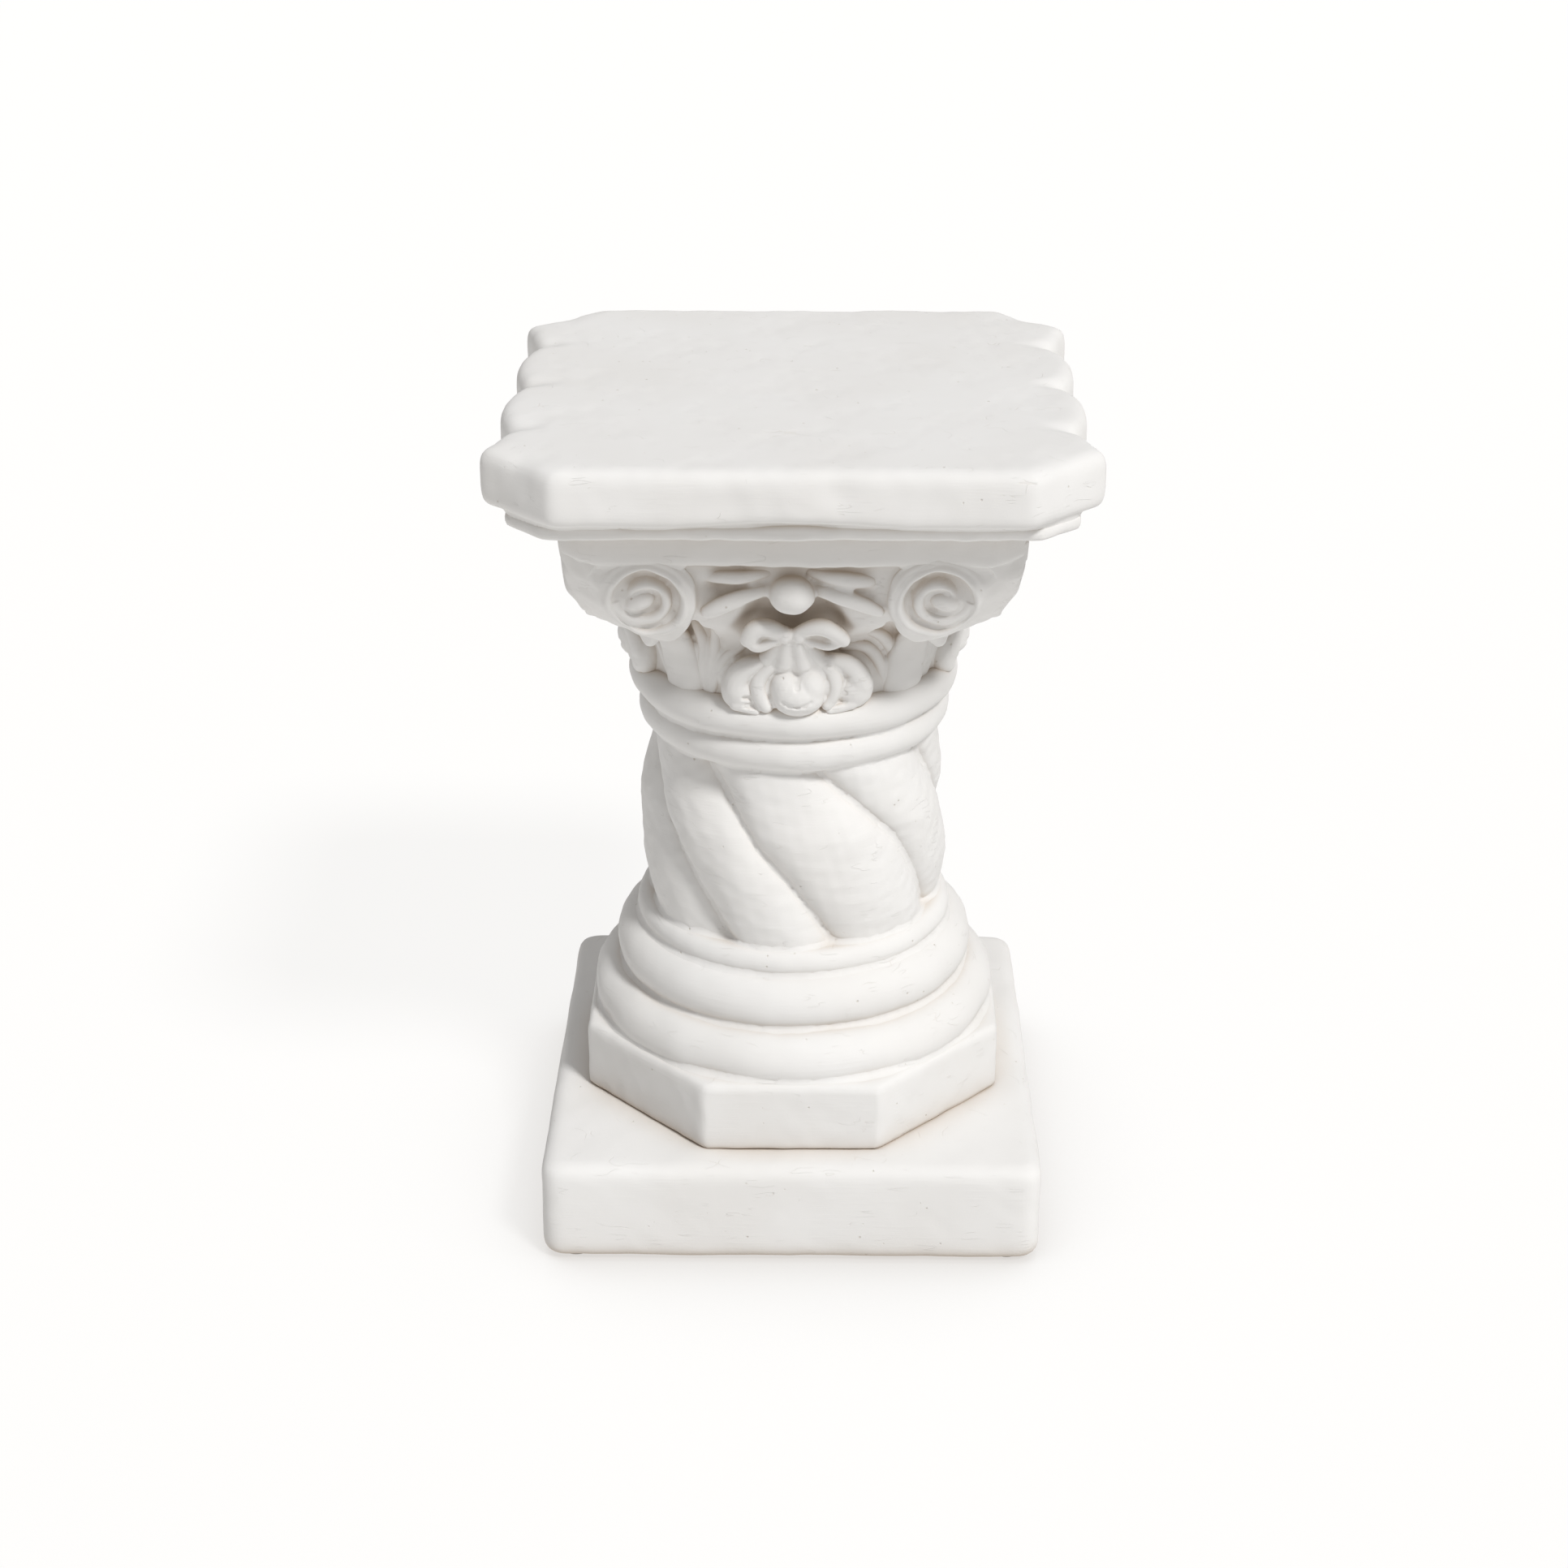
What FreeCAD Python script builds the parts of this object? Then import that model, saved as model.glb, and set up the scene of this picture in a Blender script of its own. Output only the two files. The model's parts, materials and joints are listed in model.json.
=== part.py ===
"""A pedestal column stand: cast plaster sections threaded on a steel tie rod.

The sections stack on flat bed joints, each centred by a ring-shaped register in the one below. The planted ornament of
the capital seats on the bell. Sizes are millimetres. The frame has its origin at the middle of the underside, +Z up,
the front towards -Y and the scalloped edges of the slab at +X and -X.
"""

import FreeCAD, Part
import math
import os
import re
import Sketcher
from FreeCAD import Placement, Rotation, Vector

doc = FreeCAD.newDocument("pedestal_column_stand")
sheet = doc.addObject("Spreadsheet::Sheet", "Sizes")

DRIVING_SIZES = {
    # felt pads
    "pad_radius": (14, "radius of each felt pad"),
    "pad_thickness": (2, "pressed thickness of the felt pads"),
    "pad_inset": (24, "pad centre in from the plinth's faces"),
    # plinth
    "plinth_width": (368, "side of the square plinth"),
    "plinth_height": (79, "plinth, underside to bed joint"),
    "plinth_web": (30, "thickness of the plinth's top over its hollow"),
    "plinth_rim": (40, "wall round the plinth's hollow"),
    "plinth_corner_round": (14, "round on the upright corners"),
    "plinth_edge_round": (9, "round on the top and bottom edges"),
    "hollow_corner_round": (12, "round in the corners of the hollow"),
    # octagonal step
    "octagon_flats": (312, "octagon, across flats"),
    "octagon_height": (54.5, "octagon, bed joint to bed joint"),
    "octagon_round": (5, "round on the octagon's edges"),
    # skirt under the torus
    "skirt_foot_radius": (150, "skirt radius at its foot"),
    "skirt_crown_radius": (133, "skirt radius under the torus"),
    "skirt_height": (31, "skirt, bed joint to bed joint"),
    "skirt_bulge": (11, "how far the skirt swells beyond its chord"),
    # torus
    "torus_foot_radius": (125, "torus radius at its foot"),
    "torus_crown_radius": (121, "torus radius at its top"),
    "torus_height": (38, "torus, bed joint to bed joint"),
    "torus_bulge": (13, "how far the torus swells beyond its chord"),
    # fillet ring
    "fillet_foot_radius": (112, "fillet ring radius at its foot"),
    "fillet_crown_radius": (111, "fillet ring radius at its top"),
    "fillet_height": (18, "fillet ring, bed joint to bed joint"),
    "fillet_bulge": (8, "how far the fillet ring swells"),
    # twisted shaft
    "shaft_height": (142, "shaft, bed joint to bed joint"),
    "shaft_foot_radius": (109, "radius over the lobes at the foot"),
    "shaft_neck_radius": (107, "radius over the lobes at the neck"),
    "shaft_swell": (7, "swell of the shaft at half height"),
    "lobe_count": (7, "lobes round the shaft"),
    "groove_depth": (11, "depth of the grooves between lobes"),
    "twist_rate": (0.45, "degrees of twist for each millimetre of height"),
    "groove_bearing": (27, "bearing of a groove at the foot, degrees right of the front"),
    # neck rings
    "lower_ring_foot_radius": (106, "lower neck ring radius at its foot"),
    "lower_ring_crown_radius": (110, "lower neck ring radius at its top"),
    "lower_ring_height": (26, "lower neck ring height"),
    "lower_ring_bulge": (7, "how far the lower neck ring swells"),
    "upper_ring_foot_radius": (112, "upper neck ring radius at its foot"),
    "upper_ring_crown_radius": (113, "upper neck ring radius at its top"),
    "upper_ring_height": (26, "upper neck ring height"),
    "upper_ring_bulge": (10, "how far the upper neck ring swells"),
    # bell of the capital
    "bell_foot_radius": (110, "bell radius on the upper neck ring"),
    "bell_crown_radius": (140, "bell radius under the abacus"),
    "bell_height": (123, "bell, neck ring to abacus"),
    "bell_hollowing": (8, "how far the bell's side curves in"),
    # corner scroll blocks
    "capital_reach": (158, "axis to the capital's faces under the abacus"),
    "corner_cut": (24, "cut corner of the capital and abacus"),
    "heel_inset": (22, "scroll block's lower edge in from the capital's face"),
    "heel_rise": (2, "rise of the scroll block's underside to its edge"),
    "face_bulge": (5, "swell of the scroll block's outer face"),
    "scroll_drop": (55.5, "depth of the scroll blocks below the abacus"),
    "scroll_offset": (60, "scroll's eye in from the corner block's outer side"),
    "scroll_block_round": (33, "round of the scroll block's inner side"),
    "scroll_level": (28, "scroll's eye below the abacus"),
    "scroll_inset": (10, "flat of the scroll, at its eye, in from the capital's face"),
    "scroll_tilt": (22, "lean of the scroll's face, degrees"),
    "scroll_radius": (30, "radius of the flat that carries the scroll"),
    "scroll_rim": (3, "rim left round the scroll's channel"),
    "channel_width": (5, "width of the scroll's channel"),
    "channel_depth": (5, "depth of the scroll's channel"),
    "scroll_step": (5.5, "loss of radius in each half turn"),
    "eye_radius": (8, "radius of the scroll's eye"),
    "eye_height": (5, "height of the scroll's eye"),
    "eye_bevel": (3, "bevel round the scroll's eye"),
    # corner leaves
    "leaf_foot_reach": (116, "axis to the corner leaf's foot"),
    "leaf_tip_reach": (160, "axis to the corner leaf's tip"),
    "leaf_hollowing": (14, "how far the corner leaf's back curves in"),
    "leaf_foot_width": (40, "width of the corner leaf at its foot"),
    "leaf_tip_width": (34, "width of the corner leaf at its tip"),
    "leaf_side_bulge": (3, "swell of the corner leaf's sides"),
    "leaf_bevel": (5, "bevel along the corner leaf's sides"),
    # boss
    "boss_radius": (14.5, "radius of the boss"),
    "boss_drop": (20, "boss centre below the abacus"),
    "boss_reach": (163, "axis to the front of the boss"),
    "boss_dome_bulge": (2.6, "swell of the boss's dome"),
    "nose_radius": (2, "radius of the small flat at the front of a boss or bud"),
    # husk petals
    "husk_root": (15.5, "middle of the face to the petals' roots"),
    "husk_tip": (57, "middle of the face to the petals' tips"),
    "husk_reach": (150, "axis to the front of the petals"),
    "upper_husk_drop": (12, "upper petal's root below the abacus"),
    "upper_husk_tip_drop": (10, "upper petal's tip below the abacus"),
    "upper_husk_arch": (4, "swell of the upper petal's top edge"),
    "upper_husk_belly": (4, "swell of the upper petal's lower edge"),
    "lower_husk_drop": (20, "lower petal's root below the abacus"),
    "lower_husk_tip_drop": (29, "lower petal's tip below the abacus"),
    "lower_husk_arch": (7, "swell of the lower petal's top edge"),
    "lower_husk_belly": (3, "swell of the lower petal's lower edge"),
    # ribbon bow
    "bow_drop": (59, "bow's knot below the abacus"),
    "bow_half_width": (37, "middle of the face to the loop's end"),
    "bow_droop": (2, "loop's end below the knot"),
    "bow_arch": (8, "swell of a loop's top edge"),
    "bow_belly": (6, "swell of a loop's lower edge"),
    "bow_reach": (136, "axis to the front of the loops"),
    "ribbon_width": (4, "width of the ribbon round a loop"),
    "loop_depth": (4, "depth of the hollow in a loop"),
    "knot_radius": (5, "radius of the knot"),
    "knot_reach": (139, "axis to the front of the knot"),
    # stem under the bow
    "stem_top_width": (14, "width of the stem under the knot"),
    "stem_foot_width": (32, "width of the stem on the bud"),
    "stem_reach": (129, "axis to the front of the stem"),
    "stem_groove_width": (3, "width of the stem's groove"),
    "stem_groove_depth": (3, "depth of the stem's groove"),
    # palmette
    "bud_radius": (18, "radius of the bud"),
    "bud_level": (21, "bud's middle above the neck ring"),
    "bud_reach": (129, "axis to the front of the bud"),
    "bud_shoulder": (9, "depth of the bud's dome"),
    "bud_dome_bulge": (4, "swell of the bud's dome"),
    "collar_tip_offset": (9, "middle of the face to the collar's tips"),
    "collar_half_height": (17.5, "collar's tips from the bud's middle"),
    "collar_outer_bulge": (18, "swell of the collar's outer edge"),
    "collar_inner_bulge": (11, "swell of the collar's inner edge"),
    "collar_reach": (125, "axis to the front of the collars"),
    "petal_bearing": (20.5, "bearing of the outer petals from the face, degrees"),
    "petal_foot_rise": (2, "outer petal's foot above the neck ring"),
    "petal_height": (41, "height of the outer petals"),
    "petal_offset": (10, "outer petal's inner edge from its bearing"),
    "petal_bulge": (18, "swell of the outer petal's outer edge"),
    "petal_inner_bulge": (2, "curve of the outer petal's inner edge"),
    "petal_reach": (122, "axis to the front of the outer petals"),
    # side leaves
    "ridge_bearing": (29, "bearing of the side leaves from the face, degrees"),
    "ridge_foot_rise": (2, "side leaf's foot above the neck ring"),
    "ridge_height": (64, "height of a side leaf"),
    "ridge_width": (4.5, "width of a side leaf"),
    "ridge_spacing": (6.5, "side leaves, one to the next at the foot"),
    "ridge_lean": (7, "how far the inner side leaf leans in at its tip"),
    "ridge_curve": (2.5, "curve of a side leaf"),
    "ridge_reach": (125, "axis to the front of the side leaves"),
    # abacus, bed mould and slab
    "abacus_height": (26.5, "abacus, bed joint to bed joint"),
    "abacus_round": (3, "round on the abacus's lower edges"),
    "mould_reach": (189, "axis to the bed mould's faces"),
    "mould_cut": (26, "cut corner of the bed mould"),
    "mould_height": (12, "bed mould, bed joint to bed joint"),
    "mould_round": (4, "round on the bed mould's edges"),
    "slab_width": (410, "slab, side to side and front to back"),
    "slab_height": (40, "slab, bed joint to top"),
    "slab_cut": (50, "cut corner of the slab"),
    "notch_count": (3, "notches between the scallops of a side"),
    "notch_spacing": (103, "one notch to the next"),
    "scallop_depth": (13, "depth of the notches between scallops"),
    "corner_swell": (3, "swell of the half scallop at a corner"),
    "slab_corner_round": (10, "round on the slab's upright corners"),
    "notch_round": (5, "round in the notches"),
    "slab_top_round": (10, "round on the slab's top edge"),
    "slab_foot_round": (8, "round on the slab's lower edge"),
    # registers and tie rod
    "core_radius": (28, "radius of the core hole through the sections"),
    "register_radius": (40, "outer radius of the register rings"),
    "register_height": (5, "height of the register rings"),
    "register_clearance": (0.5, "clearance round a register ring"),
    "rod_radius": (6, "radius of the tie rod"),
    "rod_hole_clearance": (1, "clearance round the rod in a web"),
    "rod_end": (3, "rod standing proud of each nut"),
    "plinth_recess": (20, "recess for the lower plate and nut"),
    "abacus_recess": (14, "recess for the upper plate and nut"),
    "plate_radius": (25, "radius of the bearing plates"),
    "plate_thickness": (5, "thickness of the bearing plates"),
    "nut_flats": (19, "nuts, across flats"),
    "nut_height": (10, "height of the nuts"),
    "thread_clearance": (0.1, "clearance of the nuts on the rod"),
}

for row, (alias, (value, meaning)) in enumerate(DRIVING_SIZES.items(), start=1):
    sheet.set(f"A{row}", meaning)
    sheet.set(f"B{row}", str(value))
    sheet.setAlias(f"B{row}", alias)
doc.recompute()

ALIAS = re.compile(r"\b(" + "|".join(sorted(DRIVING_SIZES, key=len, reverse=True)) + r")\b")
STACK = (
    "plinth",
    "octagon",
    "skirt",
    "torus",
    "fillet",
    "shaft",
    "lower_ring",
    "upper_ring",
    "bell",
    "abacus",
    "mould",
    "slab",
)
QUARTER_BULGE = 1 - math.cos(math.radians(45))  # a quarter circle's swell, as a share of its radius
FACES = 4  # the capital's faces, and its corners
HEEL_REACH = "(capital_reach - heel_inset)"
SCROLL_CENTRE = "(capital_reach - scroll_offset)"
SCROLL_FACE = "(capital_reach - scroll_inset)"


def bound(expression):
    """The expression with each alias pointing at the sheet."""
    return ALIAS.sub(r"Sizes.\1", expression)


def size(expression):
    """The number an expression over the sheet's aliases comes to."""
    return float(sheet.evalExpression(bound(expression)))


def bind(item, **properties):
    """Ties properties of a document object to expressions over the sheet."""
    for name, expression in properties.items():
        item.setExpression(name.replace("__", "."), bound(expression))


def bottom(section):
    """Height of a section's lower bed joint."""
    heights = [f"{name}_height" for name in STACK[: STACK.index(section)]]
    return " + ".join(["pad_thickness"] + heights)


def top(section):
    """Height of a section's upper bed joint."""
    return f"{bottom(section)} + {section}_height"


# ---------------------------------------------------------------- sketches


def new_body(label):
    body = doc.addObject("PartDesign::Body", label)
    body.Label = label
    body.AllowCompound = True
    return body


def origin_feature(body, role):
    return next(item for item in body.Origin.OriginFeatures if item.Role == role)


def new_sketch(body, plane, shift=("0", "0", "0"), axis=None, turn="0"):
    """An empty sketch on one of the body's origin planes, shifted and turned in that plane's own axes."""
    sketch = body.newObject("Sketcher::SketchObject", "Outline")
    sketch.AttachmentSupport = (origin_feature(body, plane), [""])
    sketch.MapMode = "FlatFace"
    base = Vector(*(size(term) for term in shift))
    rotation = Rotation(axis, size(turn)) if axis else Rotation()
    sketch.AttachmentOffset = Placement(base, rotation)
    for letter, term in zip("xyz", shift):
        sketch.setExpression(f"AttachmentOffset.Base.{letter}", bound(term))
    if axis:
        sketch.setExpression("AttachmentOffset.Rotation.Angle", bound(turn))
    return sketch


def pin(sketch, geometry, point, x, y):
    """Holds a point of the sketch at two expressions from its origin."""
    for kind, term in (("DistanceX", x), ("DistanceY", y)):
        index = sketch.addConstraint(Sketcher.Constraint(kind, -1, 1, geometry, point, size(term)))
        sketch.setExpression(f"Constraints[{index}]", bound(term))


def arc_by_swell(start, end, swell):
    """The arc from start to end that swells to the right of the way there, or to the left if swell is below zero."""
    chord = end - start
    right = Vector(chord.y, -chord.x, 0) / chord.Length
    radius = (chord.Length**2 + 4 * swell**2) / (8 * abs(swell))
    side = math.copysign(1, swell)
    centre = (start + end) / 2 - right * side * (radius - abs(swell))
    first, last = (start, end) if swell > 0 else (end, start)
    angles = [math.atan2(p.y - centre.y, p.x - centre.x) for p in (first, last)]
    if angles[1] < angles[0]:
        angles[1] += 2 * math.pi
    return Part.ArcOfCircle(Part.Circle(centre, Vector(0, 0, 1), radius), *angles)


def draw(sketch, steps, closing_swell=None):
    """A closed outline. A step is (x, y), or (x, y, swell) for an arc that reaches it, all as expressions."""
    swells = [step[2] if len(step) > 2 else None for step in steps[1:]] + [closing_swell]
    points = [Vector(size(step[0]), size(step[1]), 0) for step in steps]
    ends = []  # (geometry, its start point, its end point) for each segment
    for number, swell in enumerate(swells):
        start, end = points[number], points[(number + 1) % len(points)]
        if swell is None:
            index = sketch.addGeometry(Part.LineSegment(start, end))
            ends.append((index, 1, 2))
        else:
            amount = size(swell)
            index = sketch.addGeometry(arc_by_swell(start, end, amount))
            ends.append((index, 1, 2) if amount > 0 else (index, 2, 1))
    for number, (index, _, last) in enumerate(ends):
        following, first, _ = ends[(number + 1) % len(ends)]
        sketch.addConstraint(Sketcher.Constraint("Coincident", index, last, following, first))
    for number, (index, first, _) in enumerate(ends):
        pin(sketch, index, first, steps[number][0], steps[number][1])
        swell = swells[number]
        if swell is not None:
            (ax, ay), (bx, by) = (steps[k % len(steps)][:2] for k in (number, number + 1))
            square = f"(({bx}) - ({ax}))^2 + (({by}) - ({ay}))^2"
            radius = f"({square} + 4 * ({swell})^2) / (8 * abs({swell}))"
            held = sketch.addConstraint(Sketcher.Constraint("Radius", index, size(radius)))
            sketch.setExpression(f"Constraints[{held}]", bound(radius))
    return sketch


def draw_circle(sketch, radius, x="0", y="0"):
    centre = Vector(size(x), size(y), 0)
    index = sketch.addGeometry(Part.Circle(centre, Vector(0, 0, 1), size(radius)))
    pin(sketch, index, 3, x, y)
    held = sketch.addConstraint(Sketcher.Constraint("Radius", index, size(radius)))
    sketch.setExpression(f"Constraints[{held}]", bound(radius))
    return sketch


def draw_half_circle(sketch, start, end, centre):
    """A half circle anticlockwise from start to end, both straight above or below the centre."""
    first, last, middle = (Vector(size(x), size(y), 0) for x, y in (start, end, centre))
    angle = math.atan2(first.y - middle.y, first.x - middle.x)
    circle = Part.Circle(middle, Vector(0, 0, 1), (first - last).Length / 2)
    index = sketch.addGeometry(Part.ArcOfCircle(circle, angle, angle + math.pi))
    pin(sketch, index, 3, *centre)
    return index


# ---------------------------------------------------------------- features


def feature(body, kind, profile, **options):
    made = body.newObject(f"PartDesign::{kind}", kind)
    made.Profile = profile
    for name, value in options.items():
        setattr(made, name, value)
    return made


def pad(body, profile, length, **options):
    made = feature(body, "Pad", profile, **options)
    bind(made, Length=length)
    return made


def pocket(body, profile, length, **options):
    made = feature(body, "Pocket", profile, **options)
    bind(made, Length=length)
    return made


def revolution(body, profile, axis="V_Axis"):
    return feature(body, "Revolution", profile, ReferenceAxis=(profile, [axis]), Angle=360)


def round_edges(body, radius, chosen, label="Fillet"):
    """A fillet on the edges of the body's tip that the test chosen(edge) picks."""
    doc.recompute()
    base = body.Tip
    names = [f"Edge{n}" for n, edge in enumerate(base.Shape.Edges, start=1) if chosen(edge)]
    if not names:
        raise RuntimeError(f"{body.Label}: no edge to round with {radius}")
    made = body.newObject(f"PartDesign::{label}", label)
    made.Base = (base, names)
    bind(made, **{"Radius" if label == "Fillet" else "Size": radius})
    return made


def near(a, b):
    return abs(a - b) < 1e-4


def at_level(level):
    """Picks the edges that lie flat at a height."""
    height = size(level)
    return lambda edge: near(edge.BoundBox.ZMin, height) and near(edge.BoundBox.ZMax, height)


def upright(edge):
    return edge.BoundBox.XLength < 1e-4 and edge.BoundBox.YLength < 1e-4


def outside(reach, test):
    """Picks what the test picks among the edges that lie further out than a reach."""
    limit = size(reach)
    return lambda edge: test(edge) and edge.CenterOfMass.x**2 + edge.CenterOfMass.y**2 > limit**2


def repeat_on_faces(body, mirrored=True):
    """The body's whole shape mirrored across its face and turned to all four faces."""
    if mirrored:
        mirror = body.newObject("PartDesign::Mirrored", "Mirrored")
        mirror.TransformMode = "Whole shape"
        mirror.MirrorPlane = (origin_feature(body, "YZ_Plane"), [""])
        body.Tip = mirror
        doc.recompute()
    turned = body.newObject("PartDesign::PolarPattern", "PolarPattern")
    turned.TransformMode = "Whole shape"
    turned.Axis = (origin_feature(body, "Z_Axis"), [""])
    turned.Angle = 360
    turned.Occurrences = FACES
    body.Tip = turned


def bell_section():
    """Half of the bell's section, from the axis to its curved side."""
    return [
        ("0", bottom("bell")),
        ("bell_foot_radius", bottom("bell")),
        ("bell_crown_radius", top("bell"), "-bell_hollowing"),
        ("0", top("bell")),
    ]


def seat_on_bell(body):
    """Cuts the back of an ornament to the bell's side, so that the two meet face to face."""
    section = draw(new_sketch(body, "XZ_Plane"), bell_section())
    return feature(body, "Groove", section, ReferenceAxis=(section, ["V_Axis"]), Angle=360)


# ---------------------------------------------------------------- registers and cores


def socket(body, level):
    """The recess in a section's underside that takes the register ring below."""
    profile = new_sketch(body, "XY_Plane", ("0", "0", level))
    draw_circle(profile, "register_radius + register_clearance")
    pocket(body, profile, "register_height + register_clearance", Reversed=True)


def register(body, level):
    """The ring on a section's top that centres the one above."""
    profile = new_sketch(body, "XY_Plane", ("0", "0", level))
    draw_circle(profile, "register_radius")
    draw_circle(profile, "core_radius")
    pad(body, profile, "register_height")


def drill(body, level, radius, depth):
    """A round hole up into the body from a level."""
    profile = draw_circle(new_sketch(body, "XY_Plane", ("0", "0", level)), radius)
    pocket(body, profile, depth, Reversed=True)


def cored_ring(label, section, outside_steps):
    """A section of revolution with its core hole, socket and register ring."""
    low, high = bottom(section), top(section)
    bore = "core_radius"
    socket_radius = "register_radius + register_clearance"
    socket_top = f"{low} + register_height + register_clearance"
    steps = [(socket_radius, low)]
    steps += outside_steps
    steps += [
        ("register_radius", high),
        ("register_radius", f"{high} + register_height"),
        (bore, f"{high} + register_height"),
        (bore, socket_top),
        (socket_radius, socket_top),
    ]
    body = new_body(label)
    revolution(body, draw(new_sketch(body, "XZ_Plane"), steps))
    return body


def bead(label, section):
    """A ring with one round swelling side, such as the torus or a neck ring."""
    return cored_ring(
        label,
        section,
        [
            (f"{section}_foot_radius", bottom(section)),
            (f"{section}_crown_radius", top(section), f"{section}_bulge"),
        ],
    )


# ---------------------------------------------------------------- base


def square_steps(half):
    return [(f"-({half})", f"-({half})"), (half, f"-({half})"), (half, half), (f"-({half})", half)]


def cut_square_steps(half, cut):
    """A square with its corners cut off at 45 degrees."""
    short = f"{half} - {cut}"
    return [
        (f"-({short})", f"-({half})"),
        (short, f"-({half})"),
        (half, f"-({short})"),
        (half, short),
        (short, half),
        (f"-({short})", half),
        (f"-({half})", short),
        (f"-({half})", f"-({short})"),
    ]


def make_felt_pads():
    body = new_body("felt_pads")
    place = "plinth_width / 2 - pad_inset"
    profile = draw_circle(new_sketch(body, "XY_Plane"), "pad_radius", place, place)
    pad(body, profile, "pad_thickness")
    repeat_on_faces(body, mirrored=False)
    return body


def make_plinth():
    body = new_body("plinth")
    low, high = bottom("plinth"), top("plinth")
    outline = draw(new_sketch(body, "XY_Plane", ("0", "0", low)), square_steps("plinth_width / 2"))
    pad(body, outline, "plinth_height")
    round_edges(body, "plinth_corner_round", upright)
    round_edges(body, "plinth_edge_round", at_level(high))
    round_edges(body, "plinth_edge_round", at_level(low))
    half = "plinth_width / 2 - plinth_rim"
    hollow = draw(new_sketch(body, "XY_Plane", ("0", "0", low)), square_steps(half))
    pocket(body, hollow, "plinth_height - plinth_web", Reversed=True)
    inside = size(half) * math.sqrt(2)
    round_edges(
        body,
        "hollow_corner_round",
        lambda edge: upright(edge) and near(math.hypot(edge.CenterOfMass.x, edge.CenterOfMass.y), inside),
    )
    drill(body, low, "core_radius", "plinth_height - plinth_web + plinth_recess")
    drill(body, low, "rod_radius + rod_hole_clearance", "plinth_height")
    register(body, high)
    return body


def make_octagon_step():
    body = new_body("octagon_step")
    low, high = bottom("octagon"), top("octagon")
    cut = "octagon_flats / 2 * (1 - tan(22.5))"
    outline = draw(new_sketch(body, "XY_Plane", ("0", "0", low)), cut_square_steps("octagon_flats / 2", cut))
    pad(body, outline, "octagon_height")
    round_edges(body, "octagon_round", upright)
    round_edges(body, "octagon_round", at_level(high))
    drill(body, low, "core_radius", "octagon_height")
    socket(body, low)
    register(body, high)
    return body


# ---------------------------------------------------------------- twisted shaft


def lobed_section(share):
    """The shaft's outline at a share of its height: convex lobes that meet in grooves, turned by the twist."""
    level = size(bottom("shaft")) + share * size("shaft_height")
    straight = size("shaft_foot_radius") * (1 - share) + size("shaft_neck_radius") * share
    radius = straight + 4 * size("shaft_swell") * share * (1 - share)
    lobes = round(size("lobe_count"))
    bearing = size("groove_bearing") - size("twist_rate") * share * size("shaft_height")

    def point(distance, steps):
        angle = math.radians(bearing + steps * 360 / lobes)
        return Vector(distance * math.sin(angle), -distance * math.cos(angle), level)

    edges = []
    for lobe in range(lobes):
        groove, following = (point(radius - size("groove_depth"), step) for step in (lobe, lobe + 1))
        edges.append(Part.Arc(groove, point(radius, lobe + 0.5), following).toShape())
    return Part.Wire(edges)


def make_twisted_shaft():
    """A loft through turned lobed sections, which no sketch feature gives with both the twist and the swell."""
    sections = 7
    solid = Part.makeLoft([lobed_section(n / (sections - 1)) for n in range(sections)], True, False)
    low, high = size(bottom("shaft")), size(top("shaft"))
    rise, clearance = size("register_height"), size("register_clearance")
    ring = Part.makeCylinder(size("register_radius"), rise, Vector(0, 0, high))
    recess_radius = size("register_radius") + clearance
    recess = Part.makeCylinder(recess_radius, rise + clearance, Vector(0, 0, low))
    core = Part.makeCylinder(size("core_radius"), high + rise - low, Vector(0, 0, low))
    shaft = doc.addObject("Part::Feature", "twisted_shaft")
    shaft.Label = "twisted_shaft"
    shaft.Shape = solid.fuse(ring).cut(recess).cut(core)
    shaft.Placement = Placement()
    return shaft


# ---------------------------------------------------------------- capital


def dome_steps(radius, back, reach, shoulder, swell):
    """Half the section of a round stud that points forward, for a turn about the sketch's level axis."""
    return [
        (f"-({back})", "0"),
        (f"-({back})", radius),
        (f"-({reach} - {shoulder})", radius),
        (f"-({reach})", "nose_radius", swell),
        (f"-({reach})", "0"),
    ]


def stud(body, level, radius, back, reach, shoulder, swell):
    """A domed round stud at the middle of the front face."""
    sketch = new_sketch(body, "YZ_Plane", ("0", level, "0"))
    return revolution(body, draw(sketch, dome_steps(radius, back, reach, shoulder, swell)), "H_Axis")


def keep_within(body, plane, steps, reach, margin):
    """Cuts away all of the body that lies outside an outline, seen square to a plane."""
    sketch = new_sketch(body, plane)
    draw(sketch, steps)
    xs, ys = ([size(step[k]) for step in steps] for k in (0, 1))
    low_x, high_x = (steps[xs.index(pick(xs))][0] for pick in (min, max))
    low_y, high_y = (steps[ys.index(pick(ys))][1] for pick in (min, max))
    left, right = f"{low_x} - {margin}", f"{high_x} + {margin}"
    under, over = f"{low_y} - {margin}", f"{high_y} + {margin}"
    draw(sketch, [(left, under), (right, under), (right, over), (left, over)])
    return pocket(body, sketch, reach, Reversed=True)


def make_capital_bell():
    return cored_ring("capital_bell", "bell", bell_section()[1:3])


def scroll_block_steps(side):
    """The scroll block's outline from the front (side +1), or from the right with the front at -x (side -1)."""
    high = top("bell")
    low = f"{high} - scroll_drop"
    sign = "" if side > 0 else "-"
    return [
        (f"{sign}({SCROLL_CENTRE} - scroll_block_round)", high),
        (f"{sign}({SCROLL_CENTRE} - scroll_block_round)", f"{low} + scroll_block_round"),
        (f"{sign}{SCROLL_CENTRE}", low, f"{sign}{QUARTER_BULGE:.6f} * scroll_block_round"),
        (f"{sign}{HEEL_REACH}", f"{low} + heel_rise"),
        (f"{sign}capital_reach", high, f"{sign}face_bulge"),
    ]


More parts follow.
